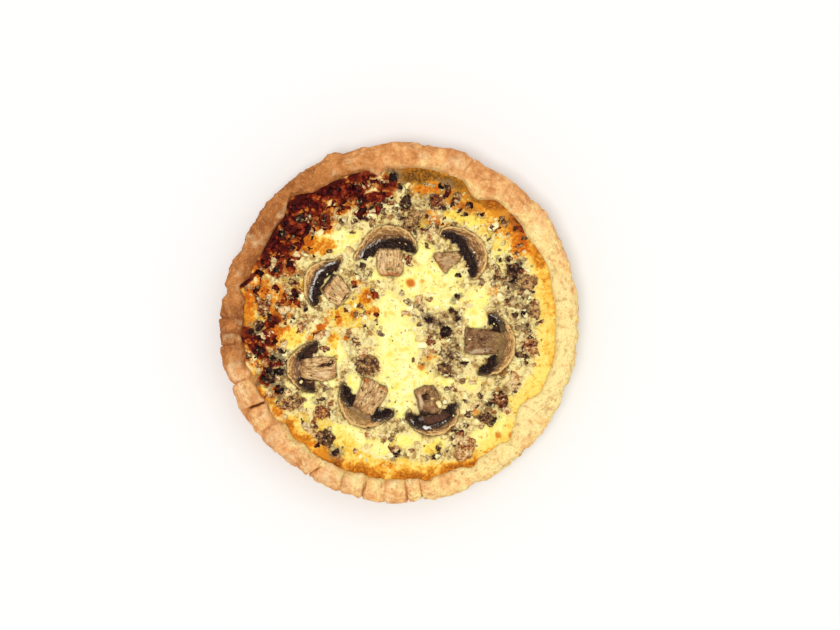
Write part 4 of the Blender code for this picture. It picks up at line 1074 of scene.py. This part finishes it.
def setCustard():
    # egg custard under melted cheese: soft satin, pale where thick, browned in spots and at the rim
    material, tree, shader = newMaterial("setCustard", {
        "IOR": 1.42, "Specular IOR Level": 0.15, **softInside(0.1, 1.4, 1.0, 0.4)})
    cheese, gold, toast, spot, scorch, grey, olive, band, brown, murk, tint, pit, flake, sliceShade = readMasks(
        tree, fillSizes["masks"])
    broad, mid, fine, dust = (grain(tree, size, 4.0, 0.68) for size in (9.0, 3.8, 1.9, 0.9))
    patchy = brokenUp(tree, tint, (broad, 1.6), (mid, 1.9), (fine, 0.4))
    burnt = brokenUp(tree, scorch, (broad, 0.5), (mid, 1.0))
    oliveTone = brokenUp(tree, olive, (mid, 1.9), (fine, 1.0))
    murky = brokenUp(tree, murk, (mid, 1.6), (fine, 1.0))
    rimTone = brokenUp(tree, brown, (broad, 0.9), (mid, 1.1), (fine, 0.8))
    goldTone = brokenUp(tree, gold, (broad, 0.8), (mid, 1.8), (fine, 0.8))
    spots = brokenUp(tree, toast, (mid, 1.8), (fine, 1.0))
    softSpot = brokenUp(tree, spot, (fine, 0.9))
    colour = paintLayers(tree, "#f8e8a4", (
        (broad, 0.42, 0.60, 0.7, "#f0d67e"), (grey, 0.1, 0.9, 0.55, "#c9b278"),
        (patchy, 0.30, 0.46, 0.75, "#e2c680"), (patchy, 0.44, 0.62, 0.85, "#a98c5c"),
        (patchy, 0.62, 0.76, 0.9, "#6a4e3c"), (patchy, 0.78, 0.92, 0.9, "#341c14"),
        # painted shade in the gaps between the lumps
        (brokenUp(tree, pit, (fine, 0.6)), 0.55, 1.2, 0.70, "#6c4d26"),
        (brokenUp(tree, cheese, (mid, 1.3)), 0.20, 0.90, 1.0, "#f8ec62"),
        (brokenUp(tree, cheese, (broad, 2.0), (mid, 1.6)), 0.48, 1.10, 0.95, "#fdfbb4"),
        (brokenUp(tree, cheese, (fine, 1.3), (mid, -2.6)), 0.95, 1.35, 0.70, "#f2ce50"),
        (goldTone, 0.35, 0.85, 0.9, "#f8d044"), (goldTone, 0.82, 1.25, 0.75, "#ec9e1a"),
        (brokenUp(tree, band, (mid, 0.9)), 0.2, 0.7, 0.9, "#fae070"),
        (rimTone, 0.15, 0.45, 0.85, "#f4b83e"), (rimTone, 0.45, 0.75, 0.95, "#d98416"),
        (rimTone, 0.72, 1.0, 0.95, "#a85a08"), (rimTone, 0.98, 1.25, 0.9, "#662a04"),
        (oliveTone, 0.20, 0.60, 0.75, "#b67e1e"), (oliveTone, 0.50, 0.90, 0.85, "#8c5812"),
        (oliveTone, 0.88, 1.2, 0.85, "#4a280c"), (murky, 0.25, 0.75, 0.70, "#9a8058"),
        (murky, 0.70, 1.20, 0.85, "#4e342c"), (toast, 0.10, 1.0, 0.45, "#efac3a"),
        (spots, 0.25, 0.65, 0.9, "#e8951f"), (spots, 0.58, 1.05, 0.9, "#c25504"),
        (softSpot, 0.10, 0.60, 0.75, "#f0b23c"), (softSpot, 0.50, 1.05, 0.9, "#c85f10"),
        (burnt, 0.15, 0.38, 0.9, "#c4701e"), (burnt, 0.36, 0.60, 0.95, "#842709"),
        (brokenUp(tree, burnt, (flake, 0.6)), 0.56, 0.90, 0.95, "#420503"),
        # painted shadow round the slices
        (brokenUp(tree, sliceShade, (broad, 1.8), (mid, 1.4)), 0.45, 1.1, 0.65, "#674828"),
        (dust, 0.64, 0.72, 0.6, "#5e4220")))
    finishSurface(tree, shader, colour, (mid, fine), 0.9, (0.36, 0.6), broad)
    return material


# bits that lie in the filling

bitSizes = {
    # x, y, width, shade from 0, the darkest
    "darkBits": (
        (-4.1, 93.6, 8, 0), (1.2, 86.5, 5, 0.2), (26, 87.5, 5, 0.1), (23, 80.5, 6, 0), (-26, 78, 6.5, 0.1),
        (-18, 74, 5, 0.3), (-75, 57.5, 8, 0), (-63.5, 66, 8, 0.15), (-48, 67, 6, 0.3), (-68, 55, 6, 0.1),
        (-79, 33.5, 6, 0.1), (-83, 3, 6, 0.2), (-95, -6, 7.5, 0.1), (-90, -3, 7, 0.1),
        (-89, -18, 8.5, 0.1), (-80.5, -24, 8, 0), (-77, -31.5, 7.5, 0), (-86.5, -36.5, 8, 0),
        (-77, -43, 8, 0), (-52, -50, 4.5, 0.3), (-41.5, -83, 7, 0.2), (-2, -84, 5.5, 0),
        (25, -80, 4.5, 0.4), (22, -85.5, 4, 0.5), (39.5, -77.5, 6, 0), (58, -52, 5, 0.2),
        (49, -54.5, 3.5, 0), (19.2, 1.6, 6, 0), (26.5, -1, 4.5, 0.1), (37, 2, 5, 0.2),
        (37, 15.5, 4.5, 0.2), (5.5, 13, 3.5, 0.2), (12, 11, 3.5, 0.3), (32, -21, 5, 0.4),
        (37, -16, 4.5, 0.5), (36, -24, 4.5, 0.5), (73, 27, 6, 0.2), (79, 15, 5, 0.4), (69.5, 40, 4.5, 0.2),
        (64.5, 41, 4, 0.2), (78, 38, 3.5, 0.1), (62, 28.5, 5.5, 0.5), (75, 10.5, 6, 0.6), (82, -2, 5, 0.4),
        (81, -25, 5.5, 0.6), (-33, -8, 5, 0.6), (-27, 31, 4, 0.4), (64.5, -45.5, 5, 0.1),
        (83.5, -16.5, 4, 0.1), (76.5, -20, 5, 0.4), (61, -50.5, 4.5, 0.3), (16, 68, 5, 0.4),
        (-92, -22, 5, 0.2), (-57, 22, 4.5, 0.5), (31, 86, 6.5, 0.3), (38, 81, 6, 0.75), (44, 75, 5.5, 0.6),
        (34, 75.5, 5, 0.2), (51, 70, 5, 0.5), (80, 54, 4.5, 0.5), (74, 60, 4.5, 0.3), (-75, -19, 5, 0.2),
        (-72, -26, 4.5, 0.3), (-66, 30, 5, 0.3), (-70, 26, 4.5, 0.5), (77, 19, 6.5, 0.4),
        (-13, 76, 5, 0.5), (77, 49, 5, 0.5), (-37, 66, 4.5, 0.6), (-2, 72, 5, 0.5), (27.5, 74, 6, 0.3),
        (38.5, 71.5, 5, 0.5), (6, 60.5, 5.5, 0.4), (5, -62, 5, 0.4), (-45, 46, 4, 0.6), (60, 60, 5, 0.5),
        (66, 66, 5, 0.4), (70, 22, 5, 0.5), (33, 8, 5, 0.5), (-62, 12, 5, 0.6), (-9, 78, 5.5, 0.4),
        (4, 62, 5, 0.5), (35, 64, 4.5, 0.6), (20, 61, 4, 0.4), (-68, 4, 4, 0.4), (74, 5, 5.5, 0.3),
        (80.5, 9.5, 4.5, 0.4), (60.5, -46.5, 5, 0.35), (66.5, -53, 5, 0.35), (9.5, 58.5, 4.5, 0.4),
        (2, 67, 4.5, 0.4), (36.5, 6, 4.5, 0.4), (-58, -38, 4, 0.3)),
    "onSlices": (
        (25.2, -52.2, 6.5, 0.6), (29, -50.8, 4, 0.9), (21, -48.6, 2.6, 0.4), (-62.8, -38, 3, 0.7)),
    "redBits": (
        (24.5, 74.5, 6, 0.2), (20, -11.5, 9, 0.35), (-5, -81, 5.5, 0.15), (-46, -59, 5, 0.1),
        (-97, -21.5, 5, 0.1), (22, -19, 5, 0.5), (27, -10, 4.5, 0.5), (67, -47.5, 5, 0.15),
        (83.5, -14.5, 5, 0.2), (47.5, -57, 3.5, 0.3), (-78, 10.5, 6, 0.25), (-73.5, 3, 5.5, 0.2),
        (35, 77.5, 5.5, 0.35), (-48, 62, 5, 0.2), (-64.5, 20, 5.5, 0.4), (-59.5, 26, 5, 0.35),
        (-69, 16, 5, 0.2)),
    # place, length, width and height, heading, shade
    "mushroomChunks": (
        ((-22, -27.1), (14.5, 11, 8), 35, 0.56), ((8.3, 66.6), (12, 9, 7.5), 60, 0.75),
        ((83, 25.6), (11, 8.5, 7), 20, 0.8), ((86, 7.6), (9.5, 8, 6.5), 75, 0.8),
        ((73.4, 33.6), (9.5, 8, 6.5), 120, 0.35), ((-67.6, -50.6), (11, 8, 6.5), 50, 0.75),
        ((-47.6, -74.6), (11.5, 9, 7.5), 130, 0.45), ((3.2, 76.6), (8.5, 10.5, 7), 10, 0.3),
        ((-83, -33.8), (9.5, 8, 6.5), 80, 0.25), ((29.6, -6.1), (8, 7.4, 6), 15, 0.05),
        ((29.8, -29.6), (8.5, 7.5, 6), 100, 0.5), ((56.6, -61.6), (9.5, 7.5, 6), 150, 0.5)),
    "chickenChunks": (
        ((41.9, -81.6), (17, 11, 8.5), 62, 0.64), ((-50.2, -57.6), (9.5, 8, 6.5), 20, 0.5),
        ((23.9, 77.6), (10, 8, 6.5), 70, 0.25), ((84.6, -15.4), (9.5, 8.5, 6.5), 95, 0.5),
        ((73.2, -38.3), (12, 7.5, 6), 55, 0.9), ((64.9, -49.4), (8.5, 7.5, 6), 140, 0.12),
        ((-86.6, 9.6), (9, 7.5, 6), 100, 0.38)),
    "chunkSink": 0.52, "chunkSwell": 1.05,
    # places tried for each bit, how much the small ones are favoured, where a slice's top begins
    "tries": 14, "smaller": 1.7, "onSlice": (-0.6, -1.2), "sliceSink": 0.2,
}


lumpInputs = ("Divisions", "Sharpness", "Unevenness", "Lump size", "Roughness", "Grain size")


def lumpSettings(lump):
    # the first two are plain numbers and the others are in mm
    return {label: value * (mm if label in lumpInputs[2:] else 1) for label, value in zip(lumpInputs, lump)}


def scatterTree(name, material):
    # Geometry Nodes: an uneven lump on every point, with the point's own size and turn
    tree = bpy.data.node_groups.new(name, "GeometryNodeTree")
    for way in ("INPUT", "OUTPUT"):
        tree.interface.new_socket("Geometry", in_out=way, socket_type="NodeSocketGeometry")
    for label in lumpInputs:
        kind = "NodeSocketInt" if label == "Divisions" else "NodeSocketFloat"
        tree.interface.new_socket(label, in_out="INPUT", socket_type=kind)
    source = addNode(tree, "NodeGroupInput")
    cube = addNode(tree, "GeometryNodeMeshCube", {"Size": (1.0, 1.0, 1.0)})[0]
    soft = addNode(tree, "GeometryNodeSubdivisionSurface", None, {
        "Mesh": cube, "Level": source["Divisions"], "Edge Crease": source["Sharpness"]})[0]
    own = {}
    for key in ("size", "turn"):
        settings = {"data_type": "FLOAT_VECTOR", "Name": key}
        own[key] = addNode(tree, "GeometryNodeInputNamedAttribute", settings)["Attribute"]
    rotation = addNode(tree, "FunctionNodeEulerToRotation", None, {0: own["turn"]})[0]
    shape = addNode(tree, "GeometryNodeInstanceOnPoints", None, {
        "Points": source["Geometry"], "Instance": soft, "Rotation": rotation, "Scale": own["size"]})[0]
    shape = addNode(tree, "GeometryNodeRealizeInstances", None, {0: shape})[0]
    place = addNode(tree, "GeometryNodeInputPosition")[0]
    for grainSize, reach in (("Lump size", "Unevenness"), ("Grain size", "Roughness")):
        scale = addNode(tree, "ShaderNodeMath", {"operation": "DIVIDE", 0: 1.0}, {1: source[grainSize]})[0]
        texture = addNode(tree, "ShaderNodeTexNoise", {"Detail": 1.0}, {"Vector": place, "Scale": scale})
        settings = {"operation": "SUBTRACT", 1: (0.5, 0.5, 0.5)}
        centred = addNode(tree, "ShaderNodeVectorMath", settings, {0: texture["Color"]})[0]
        links = {0: centred, "Scale": source[reach]}
        offset = addNode(tree, "ShaderNodeVectorMath", {"operation": "SCALE"}, links)[0]
        shape = addNode(tree, "GeometryNodeSetPosition", None, {"Geometry": shape, "Offset": offset})[0]
    smooth = addNode(tree, "GeometryNodeSetShadeSmooth", None, {0: shape})[0]
    coloured = addNode(tree, "GeometryNodeSetMaterial", {"Material": material}, {"Geometry": smooth})[0]
    addNode(tree, "NodeGroupOutput", None, {0: coloured})
    return tree


def scatter(name, material, spots, lump):
    # spots: place, the three sides, the three turns and a shade, in mm and radians
    mesh = bpy.data.meshes.new(name)
    mesh.from_pydata([[value * mm for value in spot[0]] for spot in spots], [], [])
    for key, kind, values in (
            ("size", "FLOAT_VECTOR", [side * mm for spot in spots for side in spot[1]]),
            ("turn", "FLOAT_VECTOR", [angle for spot in spots for angle in spot[2]]),
            ("shade", "FLOAT", [spot[3] for spot in spots])):
        layer = mesh.attributes.new(key, kind, "POINT")
        layer.data.foreach_set("vector" if kind == "FLOAT_VECTOR" else "value", values)
    points = addObject(name + "Points", mesh)
    modifier = points.modifiers.new("scatter", "NODES")
    modifier.node_group = scatterTree(name + "Tree", material)
    settings = lumpSettings(lump)
    for item in modifier.node_group.interface.items_tree:
        if item.in_out == "INPUT" and item.name in settings:
            modifier[item.identifier] = settings[item.name]
    depsgraph = bpy.context.evaluated_depsgraph_get()
    piece = addObject(name, bpy.data.meshes.new_from_object(points.evaluated_get(depsgraph)))
    piece.data.name = name
    bpy.data.objects.remove(points)
    return piece


def cookedMaterial(name, shades, grainSize, roughness=(0.4, 0.6), depth=0.6, softness=0.05, coating=None):
    # a cooked piece: each has its own shade, which a grain breaks up, and some custard sticks to it
    material, tree, shader = newMaterial(name, {
        "IOR": 1.4, "Specular IOR Level": 0.15, **softInside(softness, 1.2, 0.6, 0.3)})
    shade, = readMasks(tree, ("shade",))
    speck, blotch = grain(tree, grainSize, 4.0, 0.7), grain(tree, grainSize * 2.6, 4.0, 0.7)
    tone = brokenUp(tree, shade, (speck, 1.4), (blotch, 2.8))
    steps = len(shades) - 1
    layers = [(tone, (i + 0.15) / steps, (i + 0.85) / steps, 1.0, shades[i + 1]) for i in range(steps)]
    if coating:
        custard, bare = grain(tree, 2.8, 4.0, 0.65), grain(tree, 1.6, 4.0, 0.7)
        layers.append((custard, coating[1], coating[1] + 0.10, 0.85, coating[0]))
        layers.append((bare, 0.58, 0.68, 0.6, shades[0]))
    colour = paintLayers(tree, shades[0], layers)
    finishSurface(tree, shader, colour, (speck,), depth, roughness, blotch)
    return material


cookedLooks = {
    # chopped mushroom: brown to straw, satin, half hidden in custard
    "choppedMushroom": {
        "shades": ("#2e1812", "#6e4e38", "#a88a5c", "#e6d09a"), "grainSize": 1.8,
        "coating": ("#f4e2a0", 0.53)},
    # melted cheese set in curds: pale and soft, light glows through a little
    "meltedCurds": {
        "shades": ("#b8935a", "#e2c67e", "#f2e09c", "#faf0ba"), "grainSize": 2.6, "roughness": (0.38, 0.55),
        "softness": 0.12},
    # cheese burnt by the oven's heat: nearly black to rust
    "scorchedCheese": {"shades": ("#240202", "#5c0c06", "#94340e", "#c47a28"), "grainSize": 2.6},
    # dried herbs: dull dark flakes
    "driedHerbs": {
        "shades": ("#1b150c", "#3a2c16", "#5e481f"), "grainSize": 0.8, "roughness": (0.6, 0.8), "depth": 0.1,
        "softness": 0.0},
    # roasted mushroom: shrunk and moist, dark with tan faces where it is cut
    "roastedMushroom": {
        "shades": ("#190c0c", "#452820", "#8a6038", "#d0a468"), "grainSize": 1.3, "roughness": (0.3, 0.5),
        "depth": 0.8, "coating": ("#ecd896", 0.59)},
    # chicken browned at its edges, with pale meat between
    "brownedChicken": {
        "shades": ("#401410", "#86401e", "#c48c50", "#eed098"), "grainSize": 1.3, "depth": 0.8,
        "softness": 0.08, "coating": ("#f6e2a6", 0.54)},
}


def drawSpots(count, sizes, chance, seed, flatness=0.6, long=1.4, sink=0.4, shades=(0.0, 1.0), gap=0.4,
              onSlices=False):
    # places drawn by their chance, clear of the rim and, unless they lie on slices, of those
    draw = np.random.default_rng(seed)
    tries = count * bitSizes["tries"]
    angle = draw.uniform(0.0, 2.0 * np.pi, tries)
    radius = caseSizes["rimInner"] * np.sqrt(draw.uniform(0.0, 1.0, tries))
    size = mixed(sizes[0], sizes[1], draw.uniform(0.0, 1.0, tries) ** bitSizes["smaller"])
    x, y = radius * np.cos(angle), radius * np.sin(angle)
    height, masks = fillingTop(x, y)
    distance, top = sliceDistance(x, y)
    masks.update(onSlice=smoothStep(*bitSizes["onSlice"], distance), x=x)
    height = np.where(distance < 0.0, top - bitSizes["sliceSink"], height)
    clear = (distance > size * 0.5 + gap) | onSlices
    likely = np.clip(chance(masks), 0.0, 1.0) * clear * (masks["fromRim"] > size * 0.5)
    spots = []
    for i in np.flatnonzero(draw.uniform(0.0, 1.0, tries) < likely)[:count]:
        sides = size[i] * draw.uniform(0.75, 1.0, 3) * (draw.uniform(1.0, long), 1.0, flatness)
        place = (x[i], y[i], height[i] + sides[2] * (0.5 - sink))
        turns = (*draw.uniform(-0.4, 0.4, 2), draw.uniform(0.0, np.pi))
        spots.append((place, sides, turns, draw.uniform(*shades)))
    return spots


def chosenSpots(key, seed, lift=0.0):
    # places given one by one
    draw = np.random.default_rng(seed)
    spots = []
    for x, y, wide, shade in bitSizes[key]:
        sides = wide * draw.uniform(0.75, 1.0, 3) * (1.0, 0.8, 0.7)
        place = (x, y, surfaceHeight(x, y) + sides[2] * 0.02 + lift)
        spots.append((place, sides, (*draw.uniform(-0.4, 0.4, 2), draw.uniform(0.0, np.pi)), shade))
    return spots


def inLumps(masks):
    # among the lumps, most where it is grey, and none where it is golden or scorched
    lumpy = masks["lumpy"] * (0.35 + 0.65 * masks["grey"]) * (1.0 - 0.95 * masks["gold"])
    right = masks["x"] > 20
    return np.maximum(lumpy, 0.6 * masks["toast"] * right) * smoothStep(0.45, 0.0, masks["scorch"])


def shredChance(masks):
    # among the lumps, more where it is toasted and at the left
    share = 0.10 + 0.10 * masks["toast"] + 0.3 * (masks["x"] < -55)
    return masks["lumpy"] * share * (1 - masks["scorch"])


# A lump: how often it is divided, how sharp its edges stay, how uneven it is, over what size, how
# rough, with what grain. A draw: how many, the least and most width, the chance by the masks, a seed.
bitKinds = {
    "choppedMushroomBits": {
        "slot": "roasted_mushroom", "look": "choppedMushroom", "lump": (1, 0.0, 3.4, 2.8, 1.4, 1.3),
        "draws": ({"count": 340, "sizes": (2.8, 7.4), "chance": inLumps, "seed": 101,
                   "shades": (0.22, 1.1), "sink": 0.74, "gap": -0.8},)},
    "roastedMushroomBits": {
        "slot": "roasted_mushroom", "look": "roastedMushroom", "lump": (3, 0.1, 5.2, 4.2, 2.4, 1.5),
        "draws": ({"count": 70, "sizes": (3.0, 5.6), "seed": 102, "shades": (0.1, 0.9),
                   "chance": lambda m: m["lumpy"] * (0.15 + 0.4 * m["grey"] + 0.2 * m["scorch"])},),
        "chosen": ("darkBits", 112)},
    "chickenShreds": {
        "slot": "chicken", "look": "brownedChicken", "lump": (2, 0.2, 5.6, 3.0, 2.0, 1.4),
        "draws": ({"count": 130, "sizes": (2.6, 6.0), "chance": shredChance, "seed": 103, "long": 2.0,
                   "shades": (0.2, 1.0)},),
        "chosen": ("redBits", 113)},
    "cheeseCurds": {
        "slot": "custard", "look": "meltedCurds", "lump": (1, 0.0, 4.0, 3.8, 1.4, 1.6),
        "draws": ({"count": 260, "sizes": (2.8, 8.0), "seed": 104, "flatness": 0.36, "long": 1.8,
                   "chance": lambda m: m["lumpy"] * (m["scorch"] < 0.05) * (1.0 - m["toast"]) * 0.8,
                   "sink": 0.74, "gap": -1.2},)},
    "scorchedBits": {
        "slot": "custard", "look": "scorchedCheese", "lump": (1, 0.0, 4.0, 3.2, 1.8, 1.5),
        "draws": ({"count": 420, "sizes": (2.6, 7.4), "seed": 105, "long": 1.8, "shades": (0.0, 0.62),
                   "chance": lambda m: m["scorch"] * 1.1 + 0.15 * m["toast"] * m["lumpy"], "sink": 0.66},)},
    "herbFlecks": {
        "slot": "custard", "look": "driedHerbs", "lump": (1, 0.4, 0.6, 0.8, 0.3, 0.4),
        "draws": ({"count": 150, "sizes": (0.5, 1.3), "seed": 106, "flatness": 0.4, "long": 1.6,
                   "chance": lambda m: 0.06 + 0.5 * m["lumpy"], "sink": 0.2, "gap": 0.0},
                  {"count": 150, "sizes": (0.5, 1.2), "seed": 107, "flatness": 0.5, "long": 1.8,
                   "chance": lambda m: m["onSlice"], "sink": 0.6, "onSlices": True})},
    "cheeseCrumbs": {
        "slot": "custard", "look": "meltedCurds", "lump": (2, 0.1, 1.6, 1.6, 0.4, 0.6),
        "draws": ({"count": 36, "sizes": (0.5, 1.5), "seed": 108, "flatness": 0.5, "long": 1.8,
                   "chance": lambda m: m["onSlice"], "sink": 0.6, "onSlices": True},),
        "chosen": ("onSlices", 114, 3.4)},
}
chunkKinds = {
    "mushroom": {
        "slot": "roasted_mushroom", "look": "roastedMushroom", "lump": (4, 0.25, 7.0, 5.0, 3.2, 2.0)},
    "chicken": {
        "slot": "chicken", "look": "brownedChicken", "lump": (4, 0.25, 7.0, 4.2, 3.2, 2.0)},
}


def makeBits(name, kind, materials):
    spots = [spot for draw in kind["draws"] for spot in drawSpots(**draw)]
    if "chosen" in kind:
        spots += chosenSpots(*kind["chosen"])
    showPiece(scatter(name, materials[kind["look"]], spots, kind["lump"]), kind["slot"])


def makeChunks(name, kind, materials):
    # one object for all the chunks of a kind, at the places of their solids
    spots = []
    for (x, y), sides, heading, shade in bitSizes[name + "Chunks"]:
        z = surfaceHeight(x, y) + sides[2] * (0.5 - bitSizes["chunkSink"])
        sides = [side * bitSizes["chunkSwell"] for side in sides]
        spots.append(((x, y, z), sides, (0.0, 0.0, math.radians(heading)), shade))
    nodes = [f"{name}_chunk_{n + 1}" for n in range(len(spots))]
    piece = scatter(name + "Chunks", materials[kind["look"]], spots, kind["lump"])
    showPiece(piece, kind["slot"], *nodes)


# floor, light and camera

view = {
    "lens": 70.0, "sensor": 36.0, "clipEnd": 20.0, "frameWidth": 840, "frameHeight": 630,
    # the rim's middle and radius, in px of the frame and in mm, and its level
    "middle": (399.5, 322.5), "rimRadius": 180.5, "rimRadiusMm": 115.0, "rimLevelMm": 33.0,
    "sky": 0.66, "floorHalf": 1.6,
    # place in m, width in m, watts
    "lamps": {"window": ((-0.30, -0.26, 2.6), 0.9, 32.0), "fill": ((0.7, 0.7, 2.4), 1.6, 10.4)},
}


def makeView():
    # straight down, at the height that gives the rim its size in the frame
    perPixel = view["rimRadiusMm"] / view["rimRadius"]
    distance = view["lens"] / view["sensor"] * view["frameWidth"] * perPixel
    camera = bpy.data.cameras.new("camera")
    camera.lens = view["lens"]
    camera.sensor_width = view["sensor"]
    camera.clip_end = view["clipEnd"]
    eye = addObject("camera", camera)
    px, py = view["middle"]
    x, y = (view["frameWidth"] / 2 - px) * perPixel, (py - view["frameHeight"] / 2) * perPixel
    eye.location = Vector((x, y, distance + view["rimLevelMm"])) * mm
    bpy.context.scene.camera = eye


def makeStage():
    # smooth white board, matte
    board = newMaterial("paleBoard", {"Base Color": linearColour("#ebeae8"), "Roughness": 0.85})[0]
    half = view["floorHalf"]
    mesh = bpy.data.meshes.new("floor")
    corners = [(-half, -half, 0), (half, -half, 0), (half, half, 0), (-half, half, 0)]
    mesh.from_pydata(corners, [], [(0, 1, 2, 3)])
    mesh.materials.append(board)
    floor = addObject("floor", mesh)
    world = bpy.data.worlds.new("studio")
    world.use_nodes = True
    background = world.node_tree.nodes["Background"]
    background.inputs[0].default_value = (1.0, 1.0, 1.0, 1.0)
    background.inputs[1].default_value = view["sky"]
    bpy.context.scene.world = world
    for name, (place, size, watts) in view["lamps"].items():
        light = bpy.data.lights.new(name, "AREA")
        light.size = size
        light.energy = watts
        lamp = addObject(name, light)
        lamp.location = place
        lamp.rotation_euler = (-Vector(place)).to_track_quat("-Z", "Y").to_euler()
    bpy.context.scene.view_settings.view_transform = "Standard"


makeView()
makeStage()
print("camera, floor and light")

showPiece(makeCase(bakedShortcrust()), "pastry", "crust")
showPiece(makeFilling(setCustard()), "custard", "filling")
sliceMaterials = [mushroomFlesh(), mushroomGills()]
for number, (name, spec) in enumerate(slices.items()):
    showPiece(makeSlice(name, spec, number, sliceMaterials), "mushroom", "mushroom_slice_" + name)

cooked = {name: cookedMaterial(name, **look) for name, look in cookedLooks.items()}
for name, kind in bitKinds.items():
    makeBits(name, kind, cooked)
for name, kind in chunkKinds.items():
    makeChunks(name, kind, cooked)
